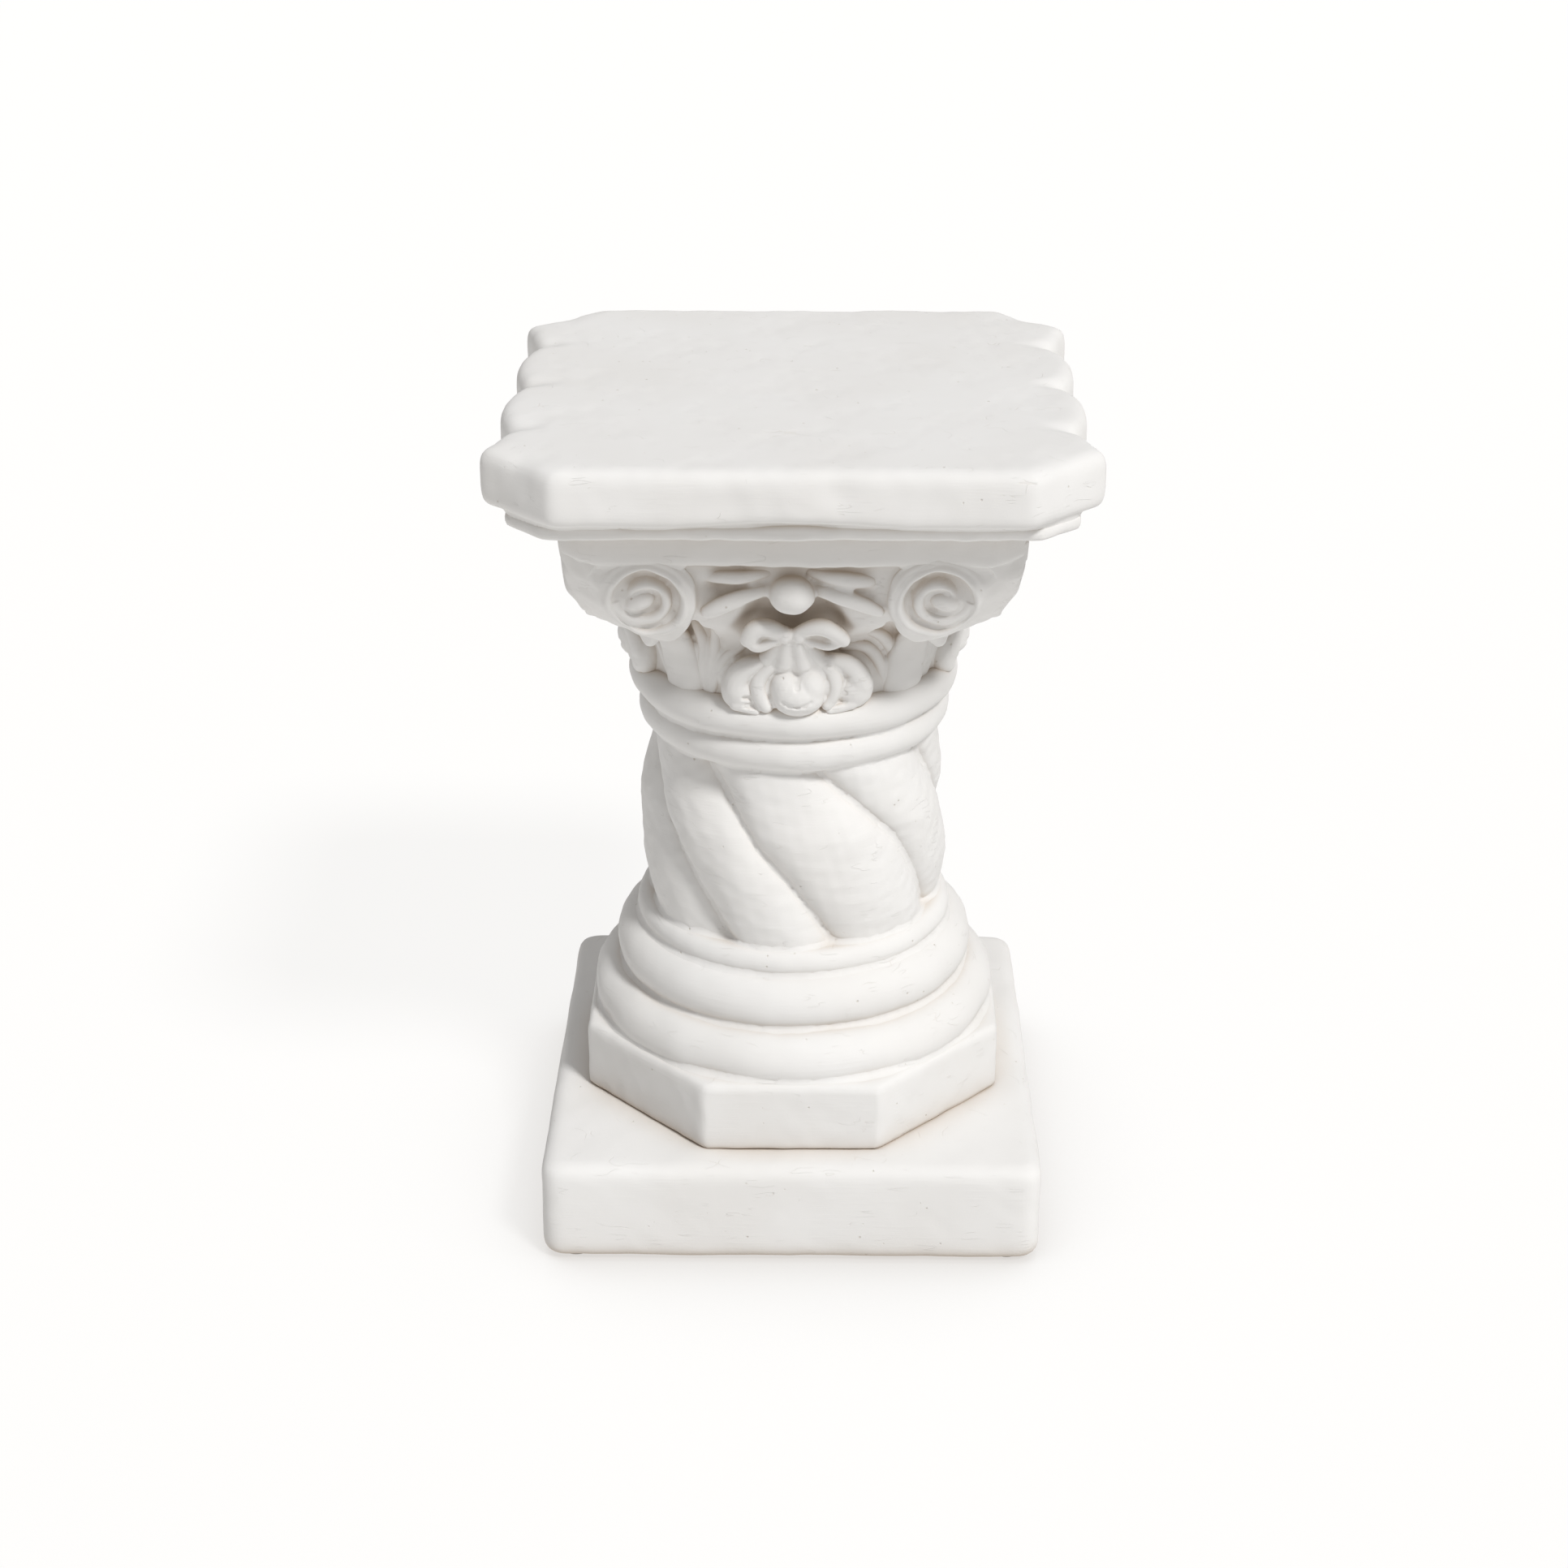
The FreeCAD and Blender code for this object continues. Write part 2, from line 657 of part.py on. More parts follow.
def scroll_sketch(body):
    """A sketch on the leaning flat of the front scroll, with its origin at the eye."""
    place = (SCROLL_CENTRE, f"{top('bell')} - scroll_level", SCROLL_FACE)
    return new_sketch(body, "XZ_Plane", place, Vector(1, 0, 0), "scroll_tilt")


def spiral_edge(sketch, inset, half_turns):
    """One edge of the scroll's channel: half circles, each a step smaller, that wind clockwise from the top."""
    arcs = []
    for turn in range(half_turns):
        radius = f"(scroll_radius - scroll_rim - {inset} - {turn} * scroll_step)"
        level = "0" if turn % 2 == 0 else "-scroll_step"
        above, below = ("0", f"{level} + {radius}"), ("0", f"{level} - {radius}")
        start, end = (below, above) if turn % 2 == 0 else (above, below)
        first, last = (Vector(size(x), size(y), 0) for x, y in (start, end))
        middle = Vector(0, size(level), 0)
        angle = math.atan2(first.y - middle.y, 0)
        circle = Part.Circle(middle, Vector(0, 0, 1), (first - last).Length / 2)
        arc = sketch.addGeometry(Part.ArcOfCircle(circle, angle, angle + math.pi))
        pin(sketch, arc, 3, "0", level)
        if arcs:
            sketch.addConstraint(Sketcher.Constraint("Coincident", arcs[-1], 1, arc, 2))
        else:
            pin(sketch, arc, 2, *end)
        sketch.addConstraint(Sketcher.Constraint("PointOnObject", arc, 1, -2))
        arcs.append(arc)
    return arcs


def draw_channel(sketch, half_turns=3):
    """The scroll's channel, between two spiral edges a channel's width apart."""
    outer = spiral_edge(sketch, "0", half_turns)
    inner = spiral_edge(sketch, "channel_width", half_turns)
    for point, place in ((2, 0), (1, -1)):
        corners = [sketch.getPoint(row[place], point) for row in (outer, inner)]
        cap = sketch.addGeometry(Part.LineSegment(*corners))
        for end, row in ((1, outer), (2, inner)):
            sketch.addConstraint(Sketcher.Constraint("Coincident", cap, end, row[place], point))
    return sketch


def make_volute(label, quarter_turns):
    """A corner block with a scroll on each outer face. Its front half is drawn at the front right corner, mirrored
    about the corner's diagonal and turned in place."""
    body = new_body(label)
    high = top("bell")
    low = f"{high} - scroll_drop"
    front = draw(new_sketch(body, "XZ_Plane"), scroll_block_steps(1))
    pad(body, front, "capital_reach")
    keep_within(body, "YZ_Plane", scroll_block_steps(-1), "capital_reach", "scroll_block_round")
    foot, reach = size(low) + 1, size(HEEL_REACH)

    def outer_corner(edge):
        middle = edge.CenterOfMass
        return middle.x > reach and near(middle.x, -middle.y) and edge.BoundBox.ZLength > 1 and middle.z > foot

    round_edges(body, "corner_cut", outer_corner, "Chamfer")
    pocket(body, draw_circle(scroll_sketch(body), "scroll_radius"), "scroll_radius", Reversed=True)
    pocket(body, draw_channel(scroll_sketch(body)), "channel_depth")
    pad(body, draw_circle(scroll_sketch(body), "eye_radius"), "eye_height")
    eye, face = size("eye_radius"), size(SCROLL_FACE)

    def eye_rim(edge):
        curve = edge.Curve
        return isinstance(curve, Part.Circle) and near(curve.Radius, eye) and curve.Center.y < -face - 1

    round_edges(body, "eye_bevel", eye_rim, "Chamfer")
    half = [("0", "0"), ("2 * capital_reach", "-2 * capital_reach"), ("2 * capital_reach", "0")]
    behind = draw(new_sketch(body, "XY_Plane", ("0", "0", low)), half)
    pocket(body, behind, "scroll_drop", Reversed=True)
    seat_on_bell(body)
    diagonal = body.newObject("PartDesign::Plane", "Diagonal")
    diagonal.AttachmentSupport = (origin_feature(body, "XZ_Plane"), [""])
    diagonal.MapMode = "FlatFace"
    diagonal.AttachmentOffset = Placement(Vector(), Rotation(Vector(0, 1, 0), -45))
    mirror = body.newObject("PartDesign::Mirrored", "Mirrored")
    mirror.TransformMode = "Whole shape"
    mirror.MirrorPlane = (diagonal, [""])
    body.Tip = mirror
    body.Placement = Placement(Vector(), Rotation(Vector(0, 0, 1), 90 * quarter_turns))
    return body


def make_corner_leaf(label, quarter_turns):
    """A smooth tongue from the neck ring out to the underside of a scroll block, drawn at the front and turned."""
    body = new_body(label)
    low, high = bottom("bell"), f"{top('bell')} - scroll_drop"
    side = [
        ("-bell_foot_radius / 2", low),
        ("-leaf_foot_reach", low),
        ("-leaf_tip_reach", high, "leaf_hollowing"),
        ("-bell_foot_radius / 2", high),
    ]
    pad(body, draw(new_sketch(body, "YZ_Plane"), side), "leaf_foot_width + leaf_tip_width", SideType="Symmetric")
    front = [
        ("-leaf_foot_width / 2", low),
        ("leaf_foot_width / 2", low),
        ("leaf_tip_width / 2", high, "leaf_side_bulge"),
        ("-leaf_tip_width / 2", high),
    ]
    sketch = new_sketch(body, "XZ_Plane")
    draw(sketch, front, "leaf_side_bulge")
    margin = "leaf_foot_width"
    wide = [(f"-{margin} - leaf_tip_width", f"{low} - {margin}"), (f"{margin} + leaf_tip_width", f"{low} - {margin}")]
    wide += [(x, f"{high} + {margin}") for x, _ in reversed(wide)]
    draw(sketch, wide)
    pocket(body, sketch, "2 * leaf_tip_reach", Reversed=True)
    inner = size("leaf_foot_reach") - 1

    def long_side(edge):
        return edge.BoundBox.ZLength > 20 and edge.CenterOfMass.y < -inner

    round_edges(body, "leaf_bevel", long_side, "Chamfer")
    seat_on_bell(body)
    body.Placement = Placement(Vector(), Rotation(Vector(0, 0, 1), 45 + 90 * quarter_turns))
    return body


def make_fleuron_bosses():
    body = new_body("fleuron_bosses")
    level = f"{top('bell')} - boss_drop"
    stud(body, level, "boss_radius", "bell_foot_radius", "boss_reach", "boss_radius", "boss_dome_bulge")
    seat_on_bell(body)
    repeat_on_faces(body, mirrored=False)
    return body


def make_husk_petals():
    """Two finger petals each side of the boss, under the abacus."""
    body = new_body("husk_petals")
    high = top("bell")
    for petal in ("upper", "lower"):
        root = ("husk_root", f"{high} - {petal}_husk_drop")
        tip = ("husk_tip", f"{high} - {petal}_husk_tip_drop")
        lower_edge = f"{petal}_husk_belly" if petal == "upper" else f"-{petal}_husk_belly"
        outline = new_sketch(body, "XZ_Plane")
        draw(outline, [root, (*tip, lower_edge)], f"{petal}_husk_arch")
        pad(body, outline, "husk_reach")
    seat_on_bell(body)
    repeat_on_faces(body)
    return body


def make_ribbon_bows():
    """Two drooping loops and a knot. The loops are hollowed, so that the ribbon stands round them."""
    body = new_body("ribbon_bows")
    level = f"{top('bell')} - bow_drop"
    loop = draw(
        new_sketch(body, "XZ_Plane"),
        [("0", level), ("bow_half_width", f"{level} - bow_droop", "bow_belly")],
        "bow_arch",
    )
    pad(body, loop, "bow_reach")
    hollow_start = ("knot_radius + ribbon_width", f"{level} - bow_droop / 4")
    hollow_end = ("bow_half_width - 2 * ribbon_width", f"{level} - bow_droop")
    hollow = draw(
        new_sketch(body, "XZ_Plane", ("0", "0", "bow_reach")),
        [hollow_start, (*hollow_end, "bow_belly - ribbon_width")],
        "bow_arch - ribbon_width",
    )
    pocket(body, hollow, "loop_depth")
    pad(body, draw_circle(new_sketch(body, "XZ_Plane"), "knot_radius", "0", level), "knot_reach")
    seat_on_bell(body)
    repeat_on_faces(body)
    return body


def make_palmette_stems():
    body = new_body("palmette_stems")
    high = f"{top('bell')} - bow_drop - knot_radius"
    low = f"{bottom('bell')} + bud_level + bud_radius"
    outline = [
        ("-stem_foot_width / 2", low),
        ("stem_foot_width / 2", low),
        ("stem_top_width / 2", high),
        ("-stem_top_width / 2", high),
    ]
    pad(body, draw(new_sketch(body, "XZ_Plane"), outline), "stem_reach")
    groove = [
        ("-stem_groove_width / 2", low),
        ("stem_groove_width / 2", low),
        ("stem_groove_width / 2", high),
        ("-stem_groove_width / 2", high),
    ]
    cut = draw(new_sketch(body, "XZ_Plane", ("0", "0", "stem_reach")), groove)
    pocket(body, cut, "stem_groove_depth")
    seat_on_bell(body)
    repeat_on_faces(body, mirrored=False)
    return body


def make_palmette_buds():
    body = new_body("palmette_buds")
    level = f"{bottom('bell')} + bud_level"
    stud(body, level, "bud_radius", "bell_foot_radius - bud_radius", "bud_reach", "bud_shoulder", "bud_dome_bulge")
    seat_on_bell(body)
    repeat_on_faces(body, mirrored=False)
    return body


def make_palmette_collars():
    body = new_body("palmette_collars")
    level = f"{bottom('bell')} + bud_level"
    tips = [("collar_tip_offset", f"{level} {sign} collar_half_height") for sign in "-+"]
    outline = new_sketch(body, "XZ_Plane")
    draw(outline, [tips[0], (*tips[1], "collar_outer_bulge")], "-collar_inner_bulge")
    pad(body, outline, "collar_reach")
    seat_on_bell(body)
    repeat_on_faces(body)
    return body


def make_palmette_petals():
    body = new_body("palmette_petals")
    foot = f"{bottom('bell')} + petal_foot_rise"
    outline = new_sketch(body, "XZ_Plane", axis=Vector(0, 1, 0), turn="petal_bearing")
    steps = [("-petal_offset", foot), ("-petal_offset", f"{foot} + petal_height", "petal_bulge")]
    draw(outline, steps, "-petal_inner_bulge")
    pad(body, outline, "petal_reach")
    seat_on_bell(body)
    repeat_on_faces(body)
    return body


def make_side_leaves():
    """Two curved ridges between the palmette and each corner leaf."""
    body = new_body("side_leaves")
    foot = f"{bottom('bell')} + ridge_foot_rise"
    tip = f"{foot} + ridge_height"
    for start, lean in (("-ridge_spacing / 2", "ridge_lean"), ("ridge_spacing / 2", "0")):
        steps = [
            (f"{start} - ridge_width / 2", foot),
            (f"{start} + ridge_width / 2", foot),
            (f"{start} + ridge_width / 2 - {lean}", tip, "ridge_curve"),
            (f"{start} - ridge_width / 2 - {lean}", tip),
        ]
        outline = new_sketch(body, "XZ_Plane", axis=Vector(0, 1, 0), turn="ridge_bearing")
        draw(outline, steps, "-ridge_curve")
        pad(body, outline, "ridge_reach")
    seat_on_bell(body)
    repeat_on_faces(body)
    return body


# ---------------------------------------------------------------- abacus, bed mould and slab


def make_abacus_block():
    body = new_body("abacus_block")
    low, high = bottom("abacus"), top("abacus")
    outline = draw(new_sketch(body, "XY_Plane", ("0", "0", low)), cut_square_steps("capital_reach", "corner_cut"))
    pad(body, outline, "abacus_height")
    round_edges(body, "abacus_round", at_level(low))
    socket(body, low)
    drill(body, low, "rod_radius + rod_hole_clearance", "abacus_height")
    drill(body, f"{high} - abacus_recess", "core_radius", "abacus_recess")
    register(body, high)
    return body


def make_bed_mould():
    body = new_body("bed_mould")
    low, high = bottom("mould"), top("mould")
    outline = draw(new_sketch(body, "XY_Plane", ("0", "0", low)), cut_square_steps("mould_reach", "mould_cut"))
    pad(body, outline, "mould_height")
    round_edges(body, "mould_round", at_level(low))
    round_edges(body, "mould_round", at_level(high))
    drill(body, low, "core_radius", "mould_height")
    socket(body, low)
    register(body, high)
    return body


def slab_steps():
    """The slab's plan: straight front and back, cut corners, and scallops that meet in notches at both sides."""
    half = "slab_width / 2"
    short = f"{half} - slab_cut"
    notch = f"{half} - scallop_depth"
    count = round(size("notch_count"))
    places = [f"({number} - (notch_count - 1) / 2) * notch_spacing" for number in range(count)]
    right = [(half, f"-({short})")]
    right += [(notch, place, "scallop_depth" if number else "corner_swell") for number, place in enumerate(places)]
    right += [(half, short, "corner_swell")]
    left = [(f"-({half})", short)]
    left += [(f"-({step[0]})", f"-({step[1]})", step[2]) for step in right[1:]]
    front = [(f"-({short})", f"-({half})"), (short, f"-({half})")]
    back = [(short, half), (f"-({short})", half)]
    return front + right + back + left


def make_top_slab():
    body = new_body("top_slab")
    low, high = bottom("slab"), top("slab")
    pad(body, draw(new_sketch(body, "XY_Plane", ("0", "0", low)), slab_steps()), "slab_height")
    deep = size("slab_width / 2 - scallop_depth")
    far = size("notch_spacing * (notch_count - 1) / 2")

    def notch(edge):
        middle = edge.CenterOfMass
        return upright(edge) and near(abs(middle.x), deep) and abs(middle.y) < far + 1

    round_edges(body, "notch_round", notch)
    limit = size("slab_width / 2 - slab_cut") - 1
    round_edges(body, "slab_corner_round", lambda e: upright(e) and abs(e.CenterOfMass.y) > limit)
    round_edges(body, "slab_top_round", at_level(high))
    round_edges(body, "slab_foot_round", at_level(low))
    socket(body, low)
    return body


# ---------------------------------------------------------------- tie rod, plates and nuts


def plinth_web_face():
    """Height of the recessed face in the plinth's hollow that the lower plate bears on."""
    return f"{top('plinth')} - plinth_web + plinth_recess"


def abacus_web_face():
    """Height of the recessed face in the abacus that the upper plate bears on."""
    return f"{top('abacus')} - abacus_recess"


def make_tie_rod():
    rod = doc.addObject("Part::Cylinder", "tie_rod")
    rod.Label = "tie_rod"
    low = f"{plinth_web_face()} - plate_thickness - nut_height - rod_end"
    high = f"{abacus_web_face()} + plate_thickness + nut_height + rod_end"
    bind(rod, Radius="rod_radius", Height=f"{high} - ({low})", Placement__Base__z=low)
    return rod


def make_plate(label, level):
    """A round steel plate with a clearance hole for the rod."""
    body = new_body(label)
    profile = new_sketch(body, "XY_Plane", ("0", "0", level))
    draw_circle(profile, "plate_radius")
    draw_circle(profile, "rod_radius + rod_hole_clearance")
    pad(body, profile, "plate_thickness")
    return body


def make_nut(label, level):
    """A hexagon nut. Its thread is left as a plain bore."""
    prism = doc.addObject("Part::Prism", f"{label}_hexagon")
    prism.Polygon = 6
    bind(prism, Circumradius="nut_flats / 2 / cos(30)", Height="nut_height", Placement__Base__z=level)
    bore = doc.addObject("Part::Cylinder", f"{label}_bore")
    bind(bore, Radius="rod_radius + thread_clearance", Height="nut_height", Placement__Base__z=level)
    nut = doc.addObject("Part::Cut", label)
    nut.Label = label
    nut.Base = prism
    nut.Tool = bore
    return nut


CORNERS = ("front_right", "back_right", "back_left", "front_left")


def main():
    nodes = [
        make_felt_pads(),
        make_plinth(),
        make_octagon_step(),
        bead("lower_torus", "skirt"),
        bead("upper_torus", "torus"),
        bead("base_fillet_ring", "fillet"),
        make_twisted_shaft(),
        bead("lower_neck_ring", "lower_ring"),
        bead("upper_neck_ring", "upper_ring"),
        make_capital_bell(),
    ]
    for quarter_turns, corner in enumerate(CORNERS):
        nodes.append(make_volute(f"volute_{corner}", quarter_turns))
        nodes.append(make_corner_leaf(f"corner_leaf_{corner}", quarter_turns))
    nodes += [
        make_fleuron_bosses(),
        make_husk_petals(),
        make_ribbon_bows(),
        make_palmette_stems(),
        make_palmette_buds(),
        make_palmette_collars(),
        make_palmette_petals(),
        make_side_leaves(),
        make_abacus_block(),
        make_bed_mould(),
        make_top_slab(),
        make_tie_rod(),
        make_plate("lower_bearing_plate", f"{plinth_web_face()} - plate_thickness"),
        make_plate("upper_bearing_plate", abacus_web_face()),
        make_nut("lower_nut", f"{plinth_web_face()} - plate_thickness - nut_height"),
        make_nut("upper_nut", f"{abacus_web_face()} + plate_thickness"),
    ]
    doc.recompute()
    os.makedirs("parts", exist_ok=True)
    for item in doc.Objects:
        if "Invalid" in item.State or "Error" in item.State:
            raise RuntimeError(f"{item.Name} of {item.Label} failed: {item.State}")
    for node in nodes:
        shape = node.Shape
        if shape.isNull() or not shape.isValid() or not shape.Solids:
            raise RuntimeError(f"{node.Label} has no valid solid")
        print(f"{node.Label}: {len(shape.Solids)} solids, {shape.Volume / 1000:.1f} cm3, {shape.BoundBox}")
    for node in nodes:
        node.Shape.exportStep(os.path.join("parts", f"{node.Label}.step"))


main()
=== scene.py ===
"""Looks of a cast plaster pedestal: rubbed castings, a carved capital, the plaster itself, studio and camera.

Shapes are given in millimetres in the frame of the model and turned into metres as each piece is made.
"""

import json
import math

import bmesh
import bpy
import numpy as np
from mathutils import Matrix, Vector

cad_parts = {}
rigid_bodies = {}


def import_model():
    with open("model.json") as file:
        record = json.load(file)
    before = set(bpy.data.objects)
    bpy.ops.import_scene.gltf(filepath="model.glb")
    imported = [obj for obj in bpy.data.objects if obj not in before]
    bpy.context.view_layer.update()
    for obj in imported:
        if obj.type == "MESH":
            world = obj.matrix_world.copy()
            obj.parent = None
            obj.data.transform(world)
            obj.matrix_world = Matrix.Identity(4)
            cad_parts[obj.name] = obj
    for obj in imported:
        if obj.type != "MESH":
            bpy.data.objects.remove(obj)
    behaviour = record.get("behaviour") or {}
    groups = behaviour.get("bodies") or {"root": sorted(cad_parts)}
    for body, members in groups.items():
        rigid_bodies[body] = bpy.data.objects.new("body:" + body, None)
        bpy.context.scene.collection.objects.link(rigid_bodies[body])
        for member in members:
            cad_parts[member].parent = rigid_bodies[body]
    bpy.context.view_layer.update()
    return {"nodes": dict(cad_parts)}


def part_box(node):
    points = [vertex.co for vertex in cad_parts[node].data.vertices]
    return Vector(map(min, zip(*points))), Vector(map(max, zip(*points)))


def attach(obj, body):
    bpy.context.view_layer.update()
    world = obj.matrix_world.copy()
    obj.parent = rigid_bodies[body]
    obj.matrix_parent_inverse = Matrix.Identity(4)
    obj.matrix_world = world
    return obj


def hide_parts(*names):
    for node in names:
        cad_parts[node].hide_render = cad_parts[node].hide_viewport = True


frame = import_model()
MM = 0.001
FACES = ((0, "front"), (1, "right"), (2, "back"), (3, "left"))
CORNERS = ((0, "front_right"), (1, "back_right"), (2, "back_left"), (3, "front_left"))


# ---------------------------------------------------------------- clay: making and working a mesh


def shown(name, bm):
    """A bmesh, whose sizes are in millimetres, as an object of the scene."""
    bmesh.ops.scale(bm, vec=(MM, MM, MM), verts=bm.verts)
    mesh = bpy.data.meshes.new(name)
    bm.to_mesh(mesh)
    bm.free()
    made = bpy.data.objects.new(name, mesh)
    bpy.context.scene.collection.objects.link(made)
    return made


def clay_of(mesh):
    """A mesh of the scene as clay, in millimetres again."""
    bm = bmesh.new()
    bm.from_mesh(mesh)
    bmesh.ops.scale(bm, vec=(1 / MM, 1 / MM, 1 / MM), verts=bm.verts)
    return bm


def points_of(made):
    """The object's points in millimetres."""
    flat = np.empty(len(made.data.vertices) * 3, np.float32)
    made.data.vertices.foreach_get("co", flat)
    return flat.reshape(-1, 3).astype(float) / MM


def normals_of(made):
    flat = np.empty(len(made.data.vertices) * 3, np.float32)
    made.data.vertex_normals.foreach_get("vector", flat)
    return flat.reshape(-1, 3).astype(float)


def place_points(made, points):
    made.data.vertices.foreach_set("co", (points * MM).astype(np.float32).ravel())
    made.data.update()
    return made


def finished_mesh(made):
    """Applies the object's modifiers."""
    bpy.context.view_layer.update()
    graph = bpy.context.evaluated_depsgraph_get()
    mesh = bpy.data.meshes.new_from_object(made.evaluated_get(graph), depsgraph=graph)
    rough = made.data
    made.modifiers.clear()
    made.data = mesh
    if rough.users == 0:
        bpy.data.meshes.remove(rough)
    return made


def recast(made, grain, rubs):
    """Casts the piece again as one even skin, fused where its parts cross, and rubs its edges soft."""
    cast = made.modifiers.new("cast", "REMESH")
    cast.mode = "VOXEL"
    cast.voxel_size = grain * MM
    rub = made.modifiers.new("rub", "SMOOTH")
    rub.factor = 0.5
    rub.iterations = rubs
    finished_mesh(made)
    made.data.shade_smooth()
    return made


def node_copy(name, *nodes):
    """A welded copy of CAD nodes, as the rough block of a piece."""
    bm = bmesh.new()
    for node in nodes:
        bm.from_mesh(frame["nodes"][node].data)
    bmesh.ops.remove_doubles(bm, verts=bm.verts, dist=0.00001)
    bmesh.ops.scale(bm, vec=(1 / MM, 1 / MM, 1 / MM), verts=bm.verts)
    return shown(name, bm)


def swell_field(points, length, seed):
    """A smooth, uneven field of about -1 to 1 over the points, whose swells are a length apart."""
    dice = np.random.default_rng(seed)
    total = np.zeros(len(points))
    waves = 9
    for _ in range(waves):
        way = dice.normal(size=3)
        way *= 2 * math.pi * dice.uniform(0.6, 1.5) / (length * np.linalg.norm(way))
        total += np.cos(points @ way + dice.uniform(0, 2 * math.pi))
    return total / math.sqrt(waves)


def hand_worn(made, seed, deep=0.55, fine=0.2):
    """Takes the machine-made evenness out of a surface."""
    points = points_of(made)
    amount = deep * swell_field(points, 70, seed) + fine * swell_field(points, 19, seed + 1)
    return place_points(made, points + normals_of(made) * amount[:, None])


def pressed(made, centre, reach, depth, stretch=(1, 1, 1)):
    """A soft dent, or a bump if the depth is below zero."""
    points = points_of(made)
    away = (points - np.array(centre)) / (reach * np.array(stretch))
    share = np.exp(-2.5 * (away**2).sum(axis=1))
    return place_points(made, points - normals_of(made) * (depth * share)[:, None])


def kept_within(made, low, high):
    """Holds the points between two corners, so that nothing stands out of the solid's box."""
    return place_points(made, np.clip(points_of(made), low, high))


def roll(points, radii, flat=1.0):
    """A tapered roll of clay along a smooth line. Flat below 1 thins it from front to back."""
    line = bpy.data.curves.new("roll", "CURVE")
    line.dimensions = "3D"
    line.bevel_depth = MM
    line.bevel_resolution = 5
    line.use_fill_caps = True
    line.resolution_u = 8
    spline = line.splines.new("NURBS")
    spline.points.add(len(points) - 1)
    for target, point, radius in zip(spline.points, points, radii):
        target.co = (*(Vector(point) * MM), 1)
        target.radius = radius
    spline.order_u = 3
    spline.use_endpoint_u = True
    holder = bpy.data.objects.new("roll", line)
    bpy.context.scene.collection.objects.link(holder)
    bpy.context.view_layer.update()
    graph = bpy.context.evaluated_depsgraph_get()
    mesh = bpy.data.meshes.new_from_object(holder.evaluated_get(graph), depsgraph=graph)
    bm = clay_of(mesh)
    bpy.data.objects.remove(holder)
    bpy.data.curves.remove(line)
    bpy.data.meshes.remove(mesh)
    for tip in (0, -1):
        ball(bm, points[tip], (radii[tip],) * 3)
    if flat != 1:
        middle = sum((Vector(point) for point in points), Vector()) / len(points)
        bmesh.ops.scale(bm, vec=(1, flat, 1), space=Matrix.Translation(-middle), verts=bm.verts)
    return bm


def ball(bm, centre, radii, turn=None):
    """Adds an egg to the clay."""
    made = bmesh.ops.create_icosphere(bm, subdivisions=3, radius=1)
    bmesh.ops.scale(bm, vec=radii, verts=made["verts"])
    if turn:
        bmesh.ops.rotate(bm, cent=(0, 0, 0), matrix=turn, verts=made["verts"])
    bmesh.ops.translate(bm, vec=centre, verts=made["verts"])
    return bm


def gathered(*lumps):
    """Several lumps of clay as one."""
    whole = bmesh.new()
    for lump in lumps:
        mesh = bpy.data.meshes.new("lump")
        lump.to_mesh(mesh)
        lump.free()
        whole.from_mesh(mesh)
        bpy.data.meshes.remove(mesh)
    return whole


def turned_copy(bm, quarter_turns, degrees=0.0):
    copy = bm.copy()
    turn = Matrix.Rotation(math.radians(90 * quarter_turns + degrees), 3, "Z")
    bmesh.ops.rotate(copy, cent=(0, 0, 0), matrix=turn, verts=copy.verts)
    return copy


def round_the_faces(lump):
    """The clay of the front face on all four faces, raised to the capital's place."""
    copies = [turned_copy(lump, turns) for turns, _ in FACES]
    lump.free()
    return raised(gathered(*copies), CAPITAL_FOOT)


def raised(bm, height):
    bmesh.ops.translate(bm, vec=(0, 0, height), verts=bm.verts)
    return bm


def fused_skin(name, pieces, grain, rubs, sink, lumps=()):
    """One skin over several pieces, a little below their faces, that shows only as fillets in the angles."""
    copies = [clay_of(piece.data) for piece in pieces]
    made = recast(shown(name, gathered(*lumps, *copies)), grain, rubs)
    return place_points(made, points_of(made) - normals_of(made) * sink)


# ---------------------------------------------------------------- turned mouldings


def swept_edge(start, end, swell, steps=14):
    """Points of a profile's arc from start to end, (radius, height) each, that swells outwards."""
    (r0, z0), (r1, z1) = start, end
    chord = math.hypot(r1 - r0, z1 - z0)
    out = ((z1 - z0) / chord, -(r1 - r0) / chord)
    radius = (chord**2 / 4 + swell**2) / (2 * abs(swell))
    half = math.asin(min(1, chord / (2 * radius)))
    sign = math.copysign(1, swell)
    row = []
    for number in range(steps + 1):
        angle = half * (2 * number / steps - 1)
        along = radius * math.sin(angle) / chord + 0.5
        away = sign * (radius * math.cos(angle) - radius + abs(swell))
        row.append((r0 + along * (r1 - r0) + away * out[0], z0 + along * (z1 - z0) + away * out[1]))
    return row


def turned(profile, segments=176):
    """A closed round casting from its profile, read from the foot up."""
    bm = bmesh.new()
    low, high = profile[0], profile[-1]
    flats = [(low[0] * share, low[1]) for share in (0, 0.4, 0.75, 0.93)]
    lid = [(high[0] * share, high[1]) for share in (0.93, 0.75, 0.4, 0)]
    row = [bm.verts.new((radius, 0, height)) for radius, height in flats + list(profile) + lid]
    edges = [bm.edges.new(pair) for pair in zip(row, row[1:])]
    bmesh.ops.spin(
        bm,
        geom=row + edges,
        cent=(0, 0, 0),
        axis=(0, 0, 1),
        angle=2 * math.pi,
        steps=segments,
        use_merge=True,
    )
    bmesh.ops.remove_doubles(bm, verts=bm.verts, dist=0.001)
    bmesh.ops.recalc_face_normals(bm, faces=bm.faces)
    return bm


